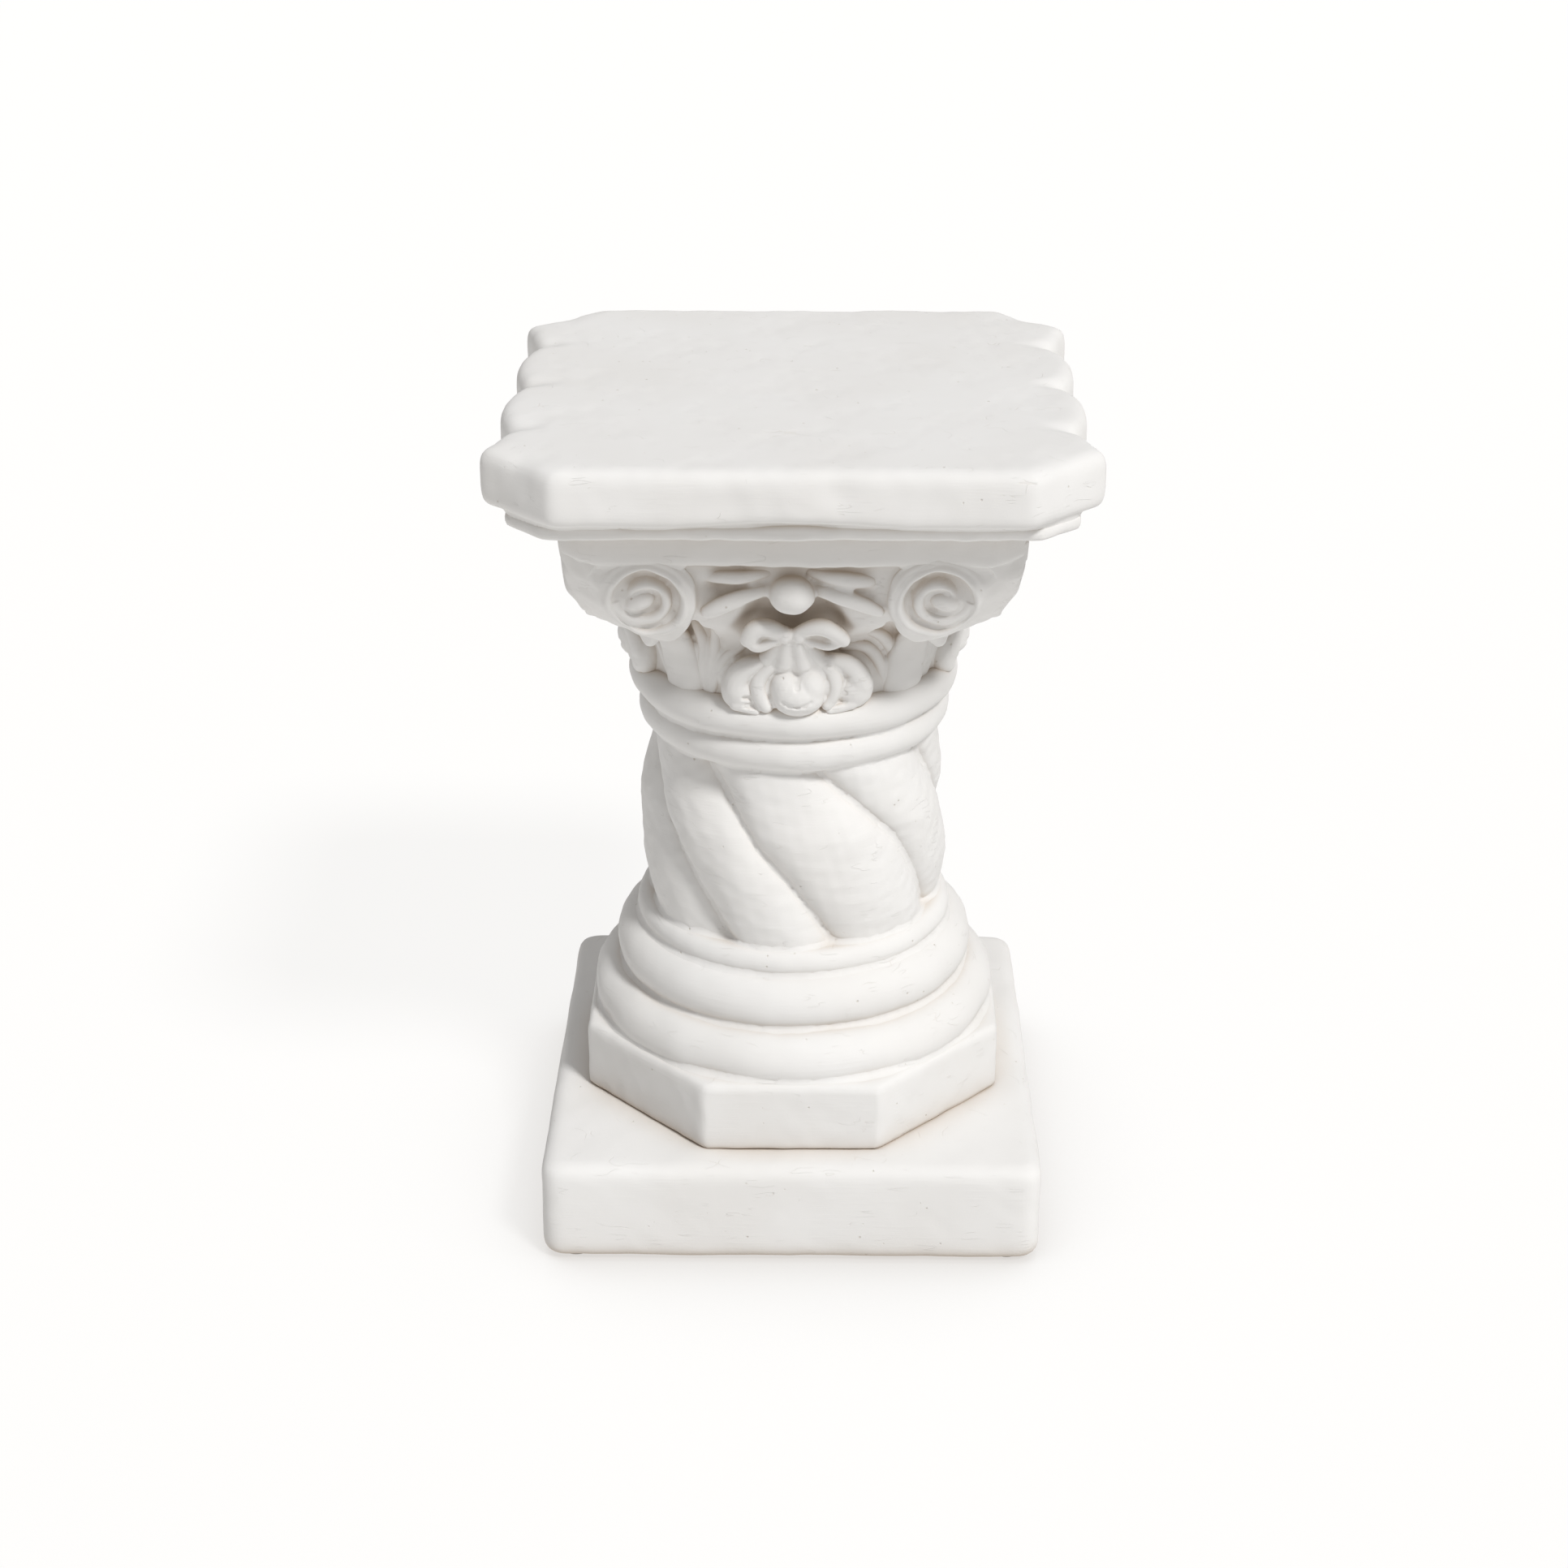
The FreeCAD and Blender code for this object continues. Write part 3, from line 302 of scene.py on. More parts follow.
def plaster_piece(made, *nodes):
    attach(made, "root")
    if nodes:
        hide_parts(*nodes)
    made.data.shade_smooth()
    made.data.materials.clear()
    made.data.materials.append(PLASTER)
    return made


# ---------------------------------------------------------------- materials


class Wire:
    """A value inside a material. Sums on wires add their nodes."""

    def __init__(self, finish, socket):
        self.finish, self.socket = finish, socket

    def joined(self, operation, first, second):
        return self.finish.node("ShaderNodeMath", {"operation": operation}, {0: first, 1: second})

    def __add__(self, other):
        return self.joined("ADD", self, other)

    def __radd__(self, other):
        return self.joined("ADD", other, self)

    def __sub__(self, other):
        return self.joined("SUBTRACT", self, other)

    def __rsub__(self, other):
        return self.joined("SUBTRACT", other, self)

    def __mul__(self, other):
        return self.joined("MULTIPLY", self, other)

    def __rmul__(self, other):
        return self.joined("MULTIPLY", other, self)

    def __abs__(self):
        return self.joined("ABSOLUTE", self, 0)

    def between(self, low, high):
        """0 at low, 1 at high, eased between them."""
        return self.finish.node(
            "ShaderNodeMapRange",
            {"interpolation_type": "SMOOTHSTEP"},
            {"Value": self, "From Min": low, "From Max": high, "To Min": 0.0, "To Max": 1.0},
        )


class Finish:
    """A material under construction."""

    def __init__(self, name):
        self.material = bpy.data.materials.new(name)
        self.material.use_nodes = True
        self.tree = self.material.node_tree
        self.tree.nodes.clear()

    def node(self, kind, settings=None, inputs=None, output=0):
        made = self.tree.nodes.new(kind)
        for key, value in (settings or {}).items():
            setattr(made, key, value)
        for key, value in (inputs or {}).items():
            if isinstance(value, Wire):
                self.tree.links.new(value.socket, made.inputs[key])
            else:
                made.inputs[key].default_value = value
        return None if output is None else Wire(self, made.outputs[output])

    def noise(self, place, scale, stretch=(1, 1, 1), detail=2.0, rough=0.5):
        spread = self.node("ShaderNodeMapping", {}, {"Vector": place, "Scale": stretch})
        return self.node(
            "ShaderNodeTexNoise", {}, {"Vector": spread, "Scale": scale, "Detail": detail, "Roughness": rough}
        )

    def mixed(self, share, first, second):
        return self.node(
            "ShaderNodeMix", {"data_type": "RGBA"}, {0: share, 6: first, 7: second}, output=2
        )

    def surface(self, **inputs):
        named = {key.replace("_", " "): value for key, value in inputs.items()}
        shader = self.node("ShaderNodeBsdfPrincipled", {}, named)
        self.node("ShaderNodeOutputMaterial", {}, {"Surface": shader}, output=None)
        return self.material


WHITE = (1, 1, 1, 1)


def cast_plaster():
    """Off-white plaster: brushed sideways, pitted by air bubbles, with warm painted shade laid into the
    hollows.
    """
    mix = Finish("cast_plaster")
    pale, paler = (0.716, 0.702, 0.682, 1), (0.744, 0.734, 0.719, 1)
    # worn colours the pits and nicks; the second colour is the warm painted shade laid into hollows and
    # creases
    worn, hollow_shade_colour = (0.50, 0.43, 0.35, 1), (0.515, 0.420, 0.325, 1)
    shade_reach = 0.042
    place = mix.node("ShaderNodeTexCoord", {}, {}, output="Object")
    facing = mix.node("ShaderNodeNewGeometry", {}, {}, output="Normal")
    level = abs(mix.node("ShaderNodeSeparateXYZ", {}, {0: facing}, output="Z")).between(0.6, 0.95)

    lumps = mix.noise(place, 42, detail=2.0)
    grain = mix.noise(place, 620, detail=4.0, rough=0.6)
    trowel = mix.noise(place, 22, (1.0, 1.0, 16.0), detail=5.0, rough=0.66)
    drag = mix.noise(place, 22, (1.0, 16.0, 1.0), detail=5.0, rough=0.66)
    streaks = trowel * (1 - level) + drag * level
    patches = mix.noise(place, 30, detail=1.0).between(0.45, 0.62)
    scratch = mix.noise(place, 34, (1.0, 1.0, 5.0), detail=1.0)
    nicks = (1 - abs(scratch - 0.5).between(0.0, 0.006)) * mix.noise(place, 55).between(0.56, 0.64)
    cells = mix.node("ShaderNodeTexVoronoi", {}, {"Vector": place, "Scale": 120.0})
    chosen = mix.noise(place, 70, detail=1.0).between(0.6, 0.66)
    pits = (1 - cells.between(0.05, 0.13)) * chosen

    height = lumps * 0.22 + streaks * (0.26 - 0.12 * level) * (0.35 + 0.65 * patches) + grain * 0.035
    height = height - nicks * 0.16 - pits * 0.4
    bump = mix.node("ShaderNodeBump", {}, {"Strength": 1.0, "Distance": MM, "Height": height})

    # Painted shade: ambient occlusion darkens and warms the colour in hollows, creases and under the slab,
    # where shade falls
    dim = mix.node(
        "ShaderNodeAmbientOcclusion", {"samples": 12}, {"Distance": shade_reach, "Color": WHITE}, output="AO"
    )
    painted_shade = (1 - dim).between(0.12, 0.95) * 0.80
    tone = mix.noise(place, 9, detail=3.0).between(0.3, 0.7)
    cream = mix.mixed(tone, pale, paler)
    marked = mix.mixed(pits * 0.5 + nicks * 0.14, cream, worn)
    colour = mix.mixed(painted_shade, marked, hollow_shade_colour)
    rough = 0.70 + 0.12 * grain
    return mix.surface(
        Base_Color=colour, Roughness=rough, Normal=bump, **{"Specular_IOR_Level": 0.28}
    )


def turned_steel():
    mix = Finish("turned_steel")
    place = mix.node("ShaderNodeTexCoord", {}, {}, output="Object")
    lines = mix.noise(place, 60, (1.0, 1.0, 22.0), detail=3.0)
    stain = mix.noise(place, 35, detail=3.0).between(0.45, 0.75)
    colour = mix.mixed(stain * 0.5, (0.50, 0.50, 0.51, 1), (0.33, 0.30, 0.27, 1))
    bump = mix.node("ShaderNodeBump", {}, {"Strength": 0.4, "Distance": MM, "Height": lines * 0.05})
    return mix.surface(Base_Color=colour, Metallic=1.0, Roughness=0.28 + 0.2 * lines, Normal=bump)


def pad_felt():
    mix = Finish("pad_felt")
    place = mix.node("ShaderNodeTexCoord", {}, {}, output="Object")
    fibres = mix.noise(place, 900, detail=4.0, rough=0.7)
    colour = mix.mixed(fibres, (0.20, 0.18, 0.16, 1), (0.36, 0.33, 0.30, 1))
    bump = mix.node("ShaderNodeBump", {}, {"Strength": 0.8, "Distance": MM, "Height": fibres * 0.4})
    return mix.surface(Base_Color=colour, Roughness=0.95, Normal=bump)


PLASTER = cast_plaster()
STEEL = turned_steel()
FELT = pad_felt()


# ---------------------------------------------------------------- square castings


def foot(node):
    """Height of a casting's lower bed joint."""
    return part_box(node)[0][2] / MM


def rubbed_block(name, node, grain, rubs, seed, deep, fine):
    """A square casting: the solid recast, its edges rubbed round and its faces slightly uneven."""
    made = recast(node_copy(name, node), grain, rubs)
    hand_worn(made, seed, deep, fine)
    kept_within(made, *(np.array(corner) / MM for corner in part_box(node)))
    return plaster_piece(made, node)


def make_plinth():
    return rubbed_block("plinth_casting", "plinth", grain=3.0, rubs=26, seed=11, deep=0.3, fine=0.1)


def make_octagon():
    return rubbed_block(
        "octagon_casting", "octagon_step", grain=2.4, rubs=8, seed=21, deep=0.35, fine=0.15
    )


def make_abacus():
    """The block over the scrolls. Its lower edge sags onto the ornament."""
    made = rubbed_block("abacus_casting", "abacus_block", grain=2.4, rubs=8, seed=31, deep=0.5, fine=0.3)
    sag, sag_starts, fade = 2.6, foot("abacus_block") + 14, 10
    points = points_of(made)
    points[:, 2] -= sag * np.clip((sag_starts - points[:, 2]) / fade, 0, 1)
    return place_points(made, points)


def make_bed_mould():
    return rubbed_block("bed_mould_casting", "bed_mould", grain=2.2, rubs=6, seed=41, deep=0.5, fine=0.25)


def make_slab():
    """The slab is the least even casting: its lower front edge lifts and its sides dip at the notches."""
    low, high = foot("top_slab"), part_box("top_slab")[1][2] / MM
    half, notch, lobe = 205, 103, 190
    made = recast(node_copy("slab_casting", "top_slab"), grain=2.6, rubs=16)
    for side in (-1, 1):
        for place in (-notch, 0, notch):
            pressed(made, (side * lobe, place, high + 2), reach=17, depth=3.2, stretch=(1.5, 0.8, 1))
        for end in (-1, 1):
            pressed(made, (side * 178, end * 180, high), reach=26, depth=2.0)
    dents = (  # x, height, reach, depth and stretch of the dents in the front
        (28, high - 12, 20, 2.6, (1.2, 1, 1)),
        (-40, low + 14, 26, 1.5, (1.6, 1, 0.8)),
        (78, high - 16, 22, 1.3, (1.6, 1, 1)),
        (-120, high - 14, 24, 1.3, (1.6, 1, 1)),
    )
    for across, height, reach, depth, stretch in dents:
        pressed(made, (across, -half, height), reach, depth, stretch)
    points = points_of(made)
    x, y, z = points.T
    front_foot = np.clip((-y - 150) / 40, 0, 1) * np.clip((low + 26 - z) / 26, 0, 1)
    lift = 3.6 * np.exp(-(((x + 8) / 62) ** 2)) + 0.8 * np.sin(x / 23 + 1)
    points[:, 2] += front_foot * np.maximum(lift, 0)
    between_ends = np.clip((152 - np.abs(y)) / 14, 0, 1)
    near_sides = np.clip((np.abs(x) - 150) / 30, 0, 1)
    points[:, 0] *= 1 - 0.019 * (between_ends * near_sides)
    place_points(made, points)
    hand_worn(made, seed=51, deep=0.35, fine=0.15)
    kept_within(made, *(np.array(corner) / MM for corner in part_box("top_slab")))
    return plaster_piece(made, "top_slab")


# ---------------------------------------------------------------- round castings and shaft


def ring(name, node, start, end, swell, seed):
    """A round casting. Its profile is in radii and in heights above its lower bed joint."""
    made = shown(name, raised(turned(swept_edge(start, end, swell)), foot(node)))
    hand_worn(made, seed, deep=0.5, fine=0.18)
    return plaster_piece(made, node)


def make_rings():
    return [
        ring("skirt_ring", "lower_torus", (150, -1), (132, 32), swell=11, seed=61),
        ring("torus_ring", "upper_torus", (125, -1), (119, 39), swell=13.5, seed=71),
        ring("fillet_ring", "base_fillet_ring", (112, -1), (109, 19), swell=8.5, seed=81),
        ring("neck_ring_lower", "lower_neck_ring", (106, 1), (109, 29), swell=7.5, seed=91),
        ring("neck_ring_upper", "upper_neck_ring", (111, 1.5), (111, 30), swell=10.5, seed=101),
    ]


# Bearings of the seven grooves, in degrees right of the front, at these heights over the shaft's foot.
GROOVE_HEIGHTS = (0, 25, 55, 80, 110, 142)
GROOVES = (
    (-24.5, -33, -44.5, -56, -71, -87),
    (17.5, 9, -2, -14, -25, -37),
    (72, 63, 52.5, 43.5, 27, 9),
    (124, 114, 101, 89, 75, 60),
    (177, 167, 154, 142, 128, 113),
    (229, 219, 206, 194, 180, 166),
    (282, 272, 259, 247, 233, 219),
)


def make_shaft():
    """Seven strands, no two the same width, that twist down to the right in front."""
    rows, columns, below, height = 110, 448, -2.0, 142.0
    bm = bmesh.new()
    made = bmesh.ops.create_circle(bm, cap_ends=False, radius=112, segments=columns)
    bmesh.ops.translate(bm, vec=(0, 0, below), verts=made["verts"])
    edges = list(bm.edges)
    for _ in range(rows):
        grown = bmesh.ops.extrude_edge_only(bm, edges=edges)["geom"]
        edges = [item for item in grown if isinstance(item, bmesh.types.BMEdge)]
        verts = [item for item in grown if isinstance(item, bmesh.types.BMVert)]
        bmesh.ops.translate(bm, vec=(0, 0, (height + 1 - below) / rows), verts=verts)
    bmesh.ops.holes_fill(bm, edges=[edge for edge in bm.edges if edge.is_boundary], sides=0)
    bmesh.ops.recalc_face_normals(bm, faces=bm.faces)
    shaft = shown("shaft_casting", bm)
    points = points_of(shaft)
    x, y, z = points.T
    bearing = np.degrees(np.arctan2(x, -y))
    heights = (0, 19, 38, 60, 88, 103, 118, 142)
    rise = np.interp(z, heights, (110.5, 113.6, 114.8, 115.2, 114.4, 111.8, 109.0, 106.8))
    marks = np.array([np.interp(z, GROOVE_HEIGHTS, groove) for groove in GROOVES])
    marks = np.vstack((marks, marks[0] + 360))
    local = np.where(bearing < marks[0], bearing + 360, bearing)
    strand = np.clip((local[None, :] >= marks).sum(axis=0) - 1, 0, len(GROOVES) - 1)
    pick = np.arange(len(local))
    share = (local - marks[strand, pick]) / (marks[strand + 1, pick] - marks[strand, pick])
    # A strand is fullest a little past its middle, so that it seems to lap over the next one.
    lapped = 2 * np.clip(share, 0, 1) ** 0.88 - 1
    bow = (np.sqrt(np.clip(1 - 0.96 * lapped**2, 0, 1)) - 0.2) / 0.8
    depth = 13.5 * np.interp(z, (0, 16, 122, 142), (0.75, 1, 1, 0.7))
    radius = rise - depth * (1 - bow)
    radius += 0.6 * swell_field(points, length=45, seed=5) + 0.2 * swell_field(points, length=14, seed=6)
    angle = np.radians(bearing)
    lifted = z + foot("twisted_shaft")
    place_points(shaft, np.column_stack((radius * np.sin(angle), -radius * np.cos(angle), lifted)))
    return plaster_piece(shaft, "twisted_shaft")


def make_joints(name, pieces, grain, rubs, sink):
    """The plaster rubbed into the bed joints between castings."""
    return plaster_piece(fused_skin(name, pieces, grain, rubs, sink))


# ---------------------------------------------------------------- corner scroll blocks

CAPITAL_FOOT = foot("capital_bell")  # heights on the capital count from here
CAPITAL_REACH = 160
BLOCK_FOOT, BLOCK_TOP = 52, 132
EYE = Vector((98, -150.3, 93))  # middle of the front right scroll
LEAN = math.radians(20)  # a scroll's face leans out at the top


def block_edges(z):
    """Inner and outer reach of a scroll block at a height, and its cut corner."""
    heights = (BLOCK_FOOT, 55, 60, 66, 75, 83, 93, 110, BLOCK_TOP)
    outer = np.interp(z, heights, (116, 127, 135, 140, 145.5, 148.5, 152, 156, 157.6))
    corner = np.interp(z, heights, (40, 40, 40, 38, 34, 30, 27, 24, 24))
    fall = np.clip((98 - z) / 46, 0, 1) + np.clip((z - 98) / 32, 0, 0.85)
    inner = 98 - 34 * np.sqrt(np.clip(1 - fall**2, 0.02, 1))
    return inner, outer, corner


def scroll_block():
    """The plain front right block, whose top runs on into the abacus."""
    bm = bmesh.new()
    bmesh.ops.create_cube(bm, size=2)
    bmesh.ops.subdivide_edges(bm, edges=bm.edges, cuts=30, use_grid_fill=True)
    for vert in bm.verts:
        s, t, u = vert.co
        z = (BLOCK_TOP + BLOCK_FOOT) / 2 + (BLOCK_TOP - BLOCK_FOOT) / 2 * u
        inner, outer, corner = block_edges(z)
        x = inner + (outer - inner) * (s + 1) / 2
        y = inner + (outer - inner) * (t + 1) / 2
        over = x + y - (2 * outer - corner)
        if over > 0:
            x, y = x - over / 2, y - over / 2
        vert.co = (x, -y, z)
    return bm


def rolled(reach, crest, width):
    """Section of a roll of clay: 1 on its crest, 0 beside it."""
    return np.sqrt(np.clip(1 - ((reach - crest) / width) ** 2, 0, 1))


def carve_scroll(made, mirrored):
    """Winds a rim and an inner coil round the egg of the scroll on one outer face of the block.

    The face's own axes are a across, b up and c out of it. Its scroll starts on the outer side, clockwise.
    The lists give radii and heights at the outer side, foot, inner side, top and outer side again. Heights
    are counted from the block's face, and below zero they cut into it.
    """
    rim_crest, rim_width = 2.0, 4.2
    coil_foot, coil_rise = -11.0, 9.8
    egg_foot, egg_rise = -9.0, 10.5
    carved_reach, carved_depth = 42, 14
    work = points_of(made)
    if mirrored:
        work = np.column_stack((-work[:, 1], -work[:, 0], work[:, 2]))
    local = work - np.array(EYE)
    out = np.array((0.0, -math.cos(LEAN), -math.sin(LEAN)))
    a = local[:, 0]
    b = local @ np.array((0.0, -math.sin(LEAN), math.cos(LEAN)))
    c = local @ out
    reach = np.hypot(a, b)
    turn = (-np.arctan2(b, a) / (2 * math.pi)) % 1.0
    quarters = (0, 0.25, 0.5, 0.75, 1)
    rim = np.interp(turn, quarters, (26.5, 28.0, 26.5, 27.5, 26.5))
    coil = np.interp(turn, quarters, (22.5, 17.0, 13.5, 12.8, 10.5))
    wide = np.interp(turn, quarters, (6.4, 5.6, 4.4, 4.2, 3.8))
    floor = np.interp(turn, quarters, (-4.0, -7.5, -12.0, -12.5, -4.0))
    rim_height = floor + (rim_crest - floor) * rolled(reach, rim, rim_width)
    coil_height = coil_foot + coil_rise * rolled(reach, coil, wide)
    tail = np.clip((turn - 0.82) / 0.18, 0, 1)
    coil_height = np.where(reach < 20, coil_height - 3.5 * tail, coil_height)
    egg = np.clip(1 - ((a - 4.5) / 10.8) ** 2 - ((b + 0.5 + 0.2 * a) / 7.6) ** 2, 0, 1)
    egg_height = egg_foot + egg_rise * np.sqrt(egg)
    bowl = np.interp(reach, (8, 12, 18, 23), (-9.0, -9.0, -8.5, -12.0))
    inside = np.maximum.reduce((rim_height, coil_height, egg_height, np.minimum(bowl, floor)))
    outside = -2.2 * np.clip((reach - 32.5) / 2, 0, 1) * np.clip((b - 0.6 * a + 8) / 10, 0, 1)
    height = np.where(reach > rim, np.maximum(rim_height, outside), inside)
    near_face = np.clip((1 - np.abs(c) / carved_depth) * 2.2, 0, 1)
    near_face = near_face * (work[:, 1] < -100) * (reach < carved_reach)
    moved = work + out * (height * near_face)[:, None]
    if mirrored:
        moved = np.column_stack((-moved[:, 1], -moved[:, 0], moved[:, 2]))
    return place_points(made, moved)


def make_volutes():
    """The four scroll blocks, each carved at the front right, turned to its corner and worn by itself."""
    for turns, corner in CORNERS:
        made = shown(f"scroll_block_{corner}", scroll_block())
        recast(made, grain=1.05, rubs=24)
        carve_scroll(made, False)
        carve_scroll(made, True)
        rub = made.modifiers.new("rub", "SMOOTH")
        rub.factor, rub.iterations = 0.5, 3
        finished_mesh(made)
        turn = np.array(Matrix.Rotation(math.radians(90 * turns), 3, "Z"))
        place_points(made, points_of(made) @ turn.T + (0, 0, CAPITAL_FOOT))
        hand_worn(made, seed=200 + turns, deep=0.5, fine=0.4)
        plaster_piece(made, f"volute_{corner}")


def within_capital(made, low, high):
    """Keeps a piece of the capital between two heights on it, and inside its reach."""
    side = CAPITAL_REACH
    return kept_within(made, (-side, -side, CAPITAL_FOOT + low), (side, side, CAPITAL_FOOT + high))


def make_corner_leaves():
    """The tongues at the corners, which curve out from the neck ring to the scroll blocks."""
    heights = (-3, 14, 32, 50, 64)
    back = (105.5, 108, 112.5, 120.5, 131)  # distance of the tongue's middle from the axis at these heights
    for turns, corner in CORNERS:
        tongue = roll([(0, 0, height) for height in heights], (21, 21, 20, 17, 14), 0.42)
        for vert in tongue.verts:
            vert.co.y -= float(np.interp(vert.co.z, heights, back))
        copy = raised(turned_copy(tongue, turns, 45), CAPITAL_FOOT)
        tongue.free()
        made = recast(shown(f"corner_tongue_{corner}", copy), grain=1.5, rubs=22)
        hand_worn(made, seed=230 + turns, deep=0.5, fine=0.3)
        within_capital(made, -3, 80)
        plaster_piece(made, f"corner_leaf_{corner}")


# ---------------------------------------------------------------- ornament of the capital's faces


def moulded(name, node, lump, grain, rubs, seed):
    """An ornament of the four faces, moulded from the clay of the front one."""
    made = recast(shown(name, round_the_faces(lump)), grain, rubs)
    hand_worn(made, seed, deep=0.4, fine=0.3)
    return plaster_piece(made, node)


def make_bosses():
    lump = bmesh.new()
    ball(lump, (-0.5, -147, 97.4), (15.8, 15.8, 13.6), Matrix.Rotation(math.radians(-18), 3, "X"))
    ball(lump, (-0.5, -138, 101), (14, 14, 12))
    return moulded("boss_carving", "fleuron_bosses", lump, grain=1.2, rubs=4, seed=301)


def make_husks():
    lumps = [
        roll(
            [(12, -141, 112), (26, -146, 109.5), (40, -147.5, 108), (52, -143, 106.5)],
            (3.6, 4.8, 6.4, 5.0), 0.9,
        ),
        roll(
            [(12, -141, 101), (26, -147, 98.5), (42, -148, 93), (58, -143, 85)],
            (4.0, 5.2, 6.2, 4.4), 0.9,
        ),
        roll(
            [(-15, -141, 112), (-28, -146, 110.5), (-43, -147.5, 110), (-56, -143, 110)],
            (3.6, 5.0, 5.8, 4.2), 0.9,
        ),
        roll(
            [(-14, -142, 100.5), (-28, -147, 98.5), (-46, -148, 91), (-57, -143, 84.5)],
            (4.0, 5.2, 7.2, 5.4), 0.9,
        ),
        roll([(-34, -146, 91), (-45, -145.5, 86.5), (-55, -143, 82)], (2.6, 3.6, 3.4), 0.9),
    ]
    return moulded("husk_carving", "husk_petals", gathered(*lumps), grain=1.1, rubs=3, seed=311)


def make_bows():
    lumps = [
        roll([(3, -134, 65), (12, -138, 71.5), (27, -139, 71), (34.5, -134, 60)], (4.6, 6.2, 6.8, 5.2)),
        roll([(34, -133, 60.5), (27, -132, 54.5), (17, -131.5, 56), (6, -131, 61)], (4.8, 4.2, 4.0, 3.4)),
        roll(
            [(-4, -134, 65), (-14, -138, 70.5), (-27, -139, 71.5), (-30, -134.5, 60.5)],
            (4.6, 6.2, 7.0, 6.2),
        ),
        roll([(-30, -134, 61), (-27, -132.5, 55), (-19, -132.5, 56), (-9, -132, 61)], (5.6, 5.0, 4.4, 3.4)),
    ]
    knot = bmesh.new()
    ball(knot, (4.8, -135, 64.5), (5.2, 4.8, 6.8))
    ball(knot, (-5.0, -135, 64.5), (5.2, 4.8, 6.8))
    ball(knot, (18, -128.5, 62), (14, 5, 6))
    ball(knot, (-18, -128.5, 62), (12, 5, 6))
    return moulded("bow_carving", "ribbon_bows", gathered(knot, *lumps), grain=1.0, rubs=3, seed=321)


def make_stems():
    """A smooth cone that widens from the knot to the bud, with one crease down its middle."""
    cone = bmesh.new()
    ball(cone, (0.5, -120.5, 46), (13, 6.5, 14))
    lumps = [
        cone,
        roll([(3.4, -131, 59), (4.6, -127, 50), (7.0, -121, 38)], (4.4, 5.6, 7.4)),
        roll([(-3.2, -131, 59), (-4.4, -127, 50), (-6.2, -121, 38)], (4.4, 5.6, 7.4)),
        roll([(8, -127, 57), (12.5, -123.5, 48), (19, -118, 39)], (4.2, 6.0, 6.6)),
        roll([(-8, -127, 57), (-12.0, -123.5, 48), (-17, -118, 40)], (4.2, 6.0, 6.4)),
    ]
    return moulded("stem_carving", "palmette_stems", gathered(*lumps), grain=1.0, rubs=5, seed=331)


def grooved(made, cuts):
    """Presses short grooves into the front of a carving on each of the four faces.

    A cut is (x, height) at its start and at its end, its depth and its width.
    """
    points = points_of(made) - (0, 0, CAPITAL_FOOT)
    for turns, _ in FACES:
        turn = np.array(Matrix.Rotation(math.radians(-90 * turns), 3, "Z"))
        local = points @ turn.T
        x, y, z = local.T
        for (x0, z0), (x1, z1), depth, width in cuts:
            dx, dz = x1 - x0, z1 - z0
            share = np.clip(((x - x0) * dx + (z - z0) * dz) / (dx**2 + dz**2), 0, 1)
            away = np.hypot(x - x0 - share * dx, z - z0 - share * dz)
            local[:, 1] += np.where(y < -100, depth * np.exp(-((away / width) ** 2)), 0)
        points = local @ turn
    return place_points(made, points + (0, 0, CAPITAL_FOOT))


def make_buds():
    """The bud: two lobes over a round lip, with a cleft at the top and a crescent cut above the lip."""
    lump = bmesh.new()
    ball(lump, (11.6, -112, 20.5), (13.2, 16, 18))
    ball(lump, (-5.0, -112, 20.5), (13.0, 16, 18))
    ball(lump, (3.4, -113.5, 14), (20.4, 15.8, 19))
    bud = recast(shown("bud_carving", round_the_faces(lump)), grain=1.0, rubs=5)
    cuts = [((3.2, 36), (3.0, 21), 2.8, 1.5)]
    lip = ((-6.5, 9.8), (-2, 7.6), (3.2, 6.8), (8.5, 7.6), (12.5, 10.0))
    cuts += [(start, end, 1.5, 1.5) for start, end in zip(lip, lip[1:])]
    grooved(bud, cuts)
    hand_worn(bud, seed=341, deep=0.4, fine=0.3)
    return plaster_piece(bud, "palmette_buds")


def make_collars():
    lumps = [
        roll([(12, -118.5, 40), (25, -118, 36), (31.5, -115.5, 18), (24.5, -115, 5)], (4.4, 5.8, 6.6, 5.2)),
        roll(
            [(-6, -118.5, 39), (-19, -118, 34), (-25.5, -115.5, 16), (-18.5, -115, 4)],
            (4.4, 5.8, 6.8, 5.4),
        ),
    ]
    return moulded("collar_carving", "palmette_collars", gathered(*lumps), grain=1.0, rubs=3, seed=351)


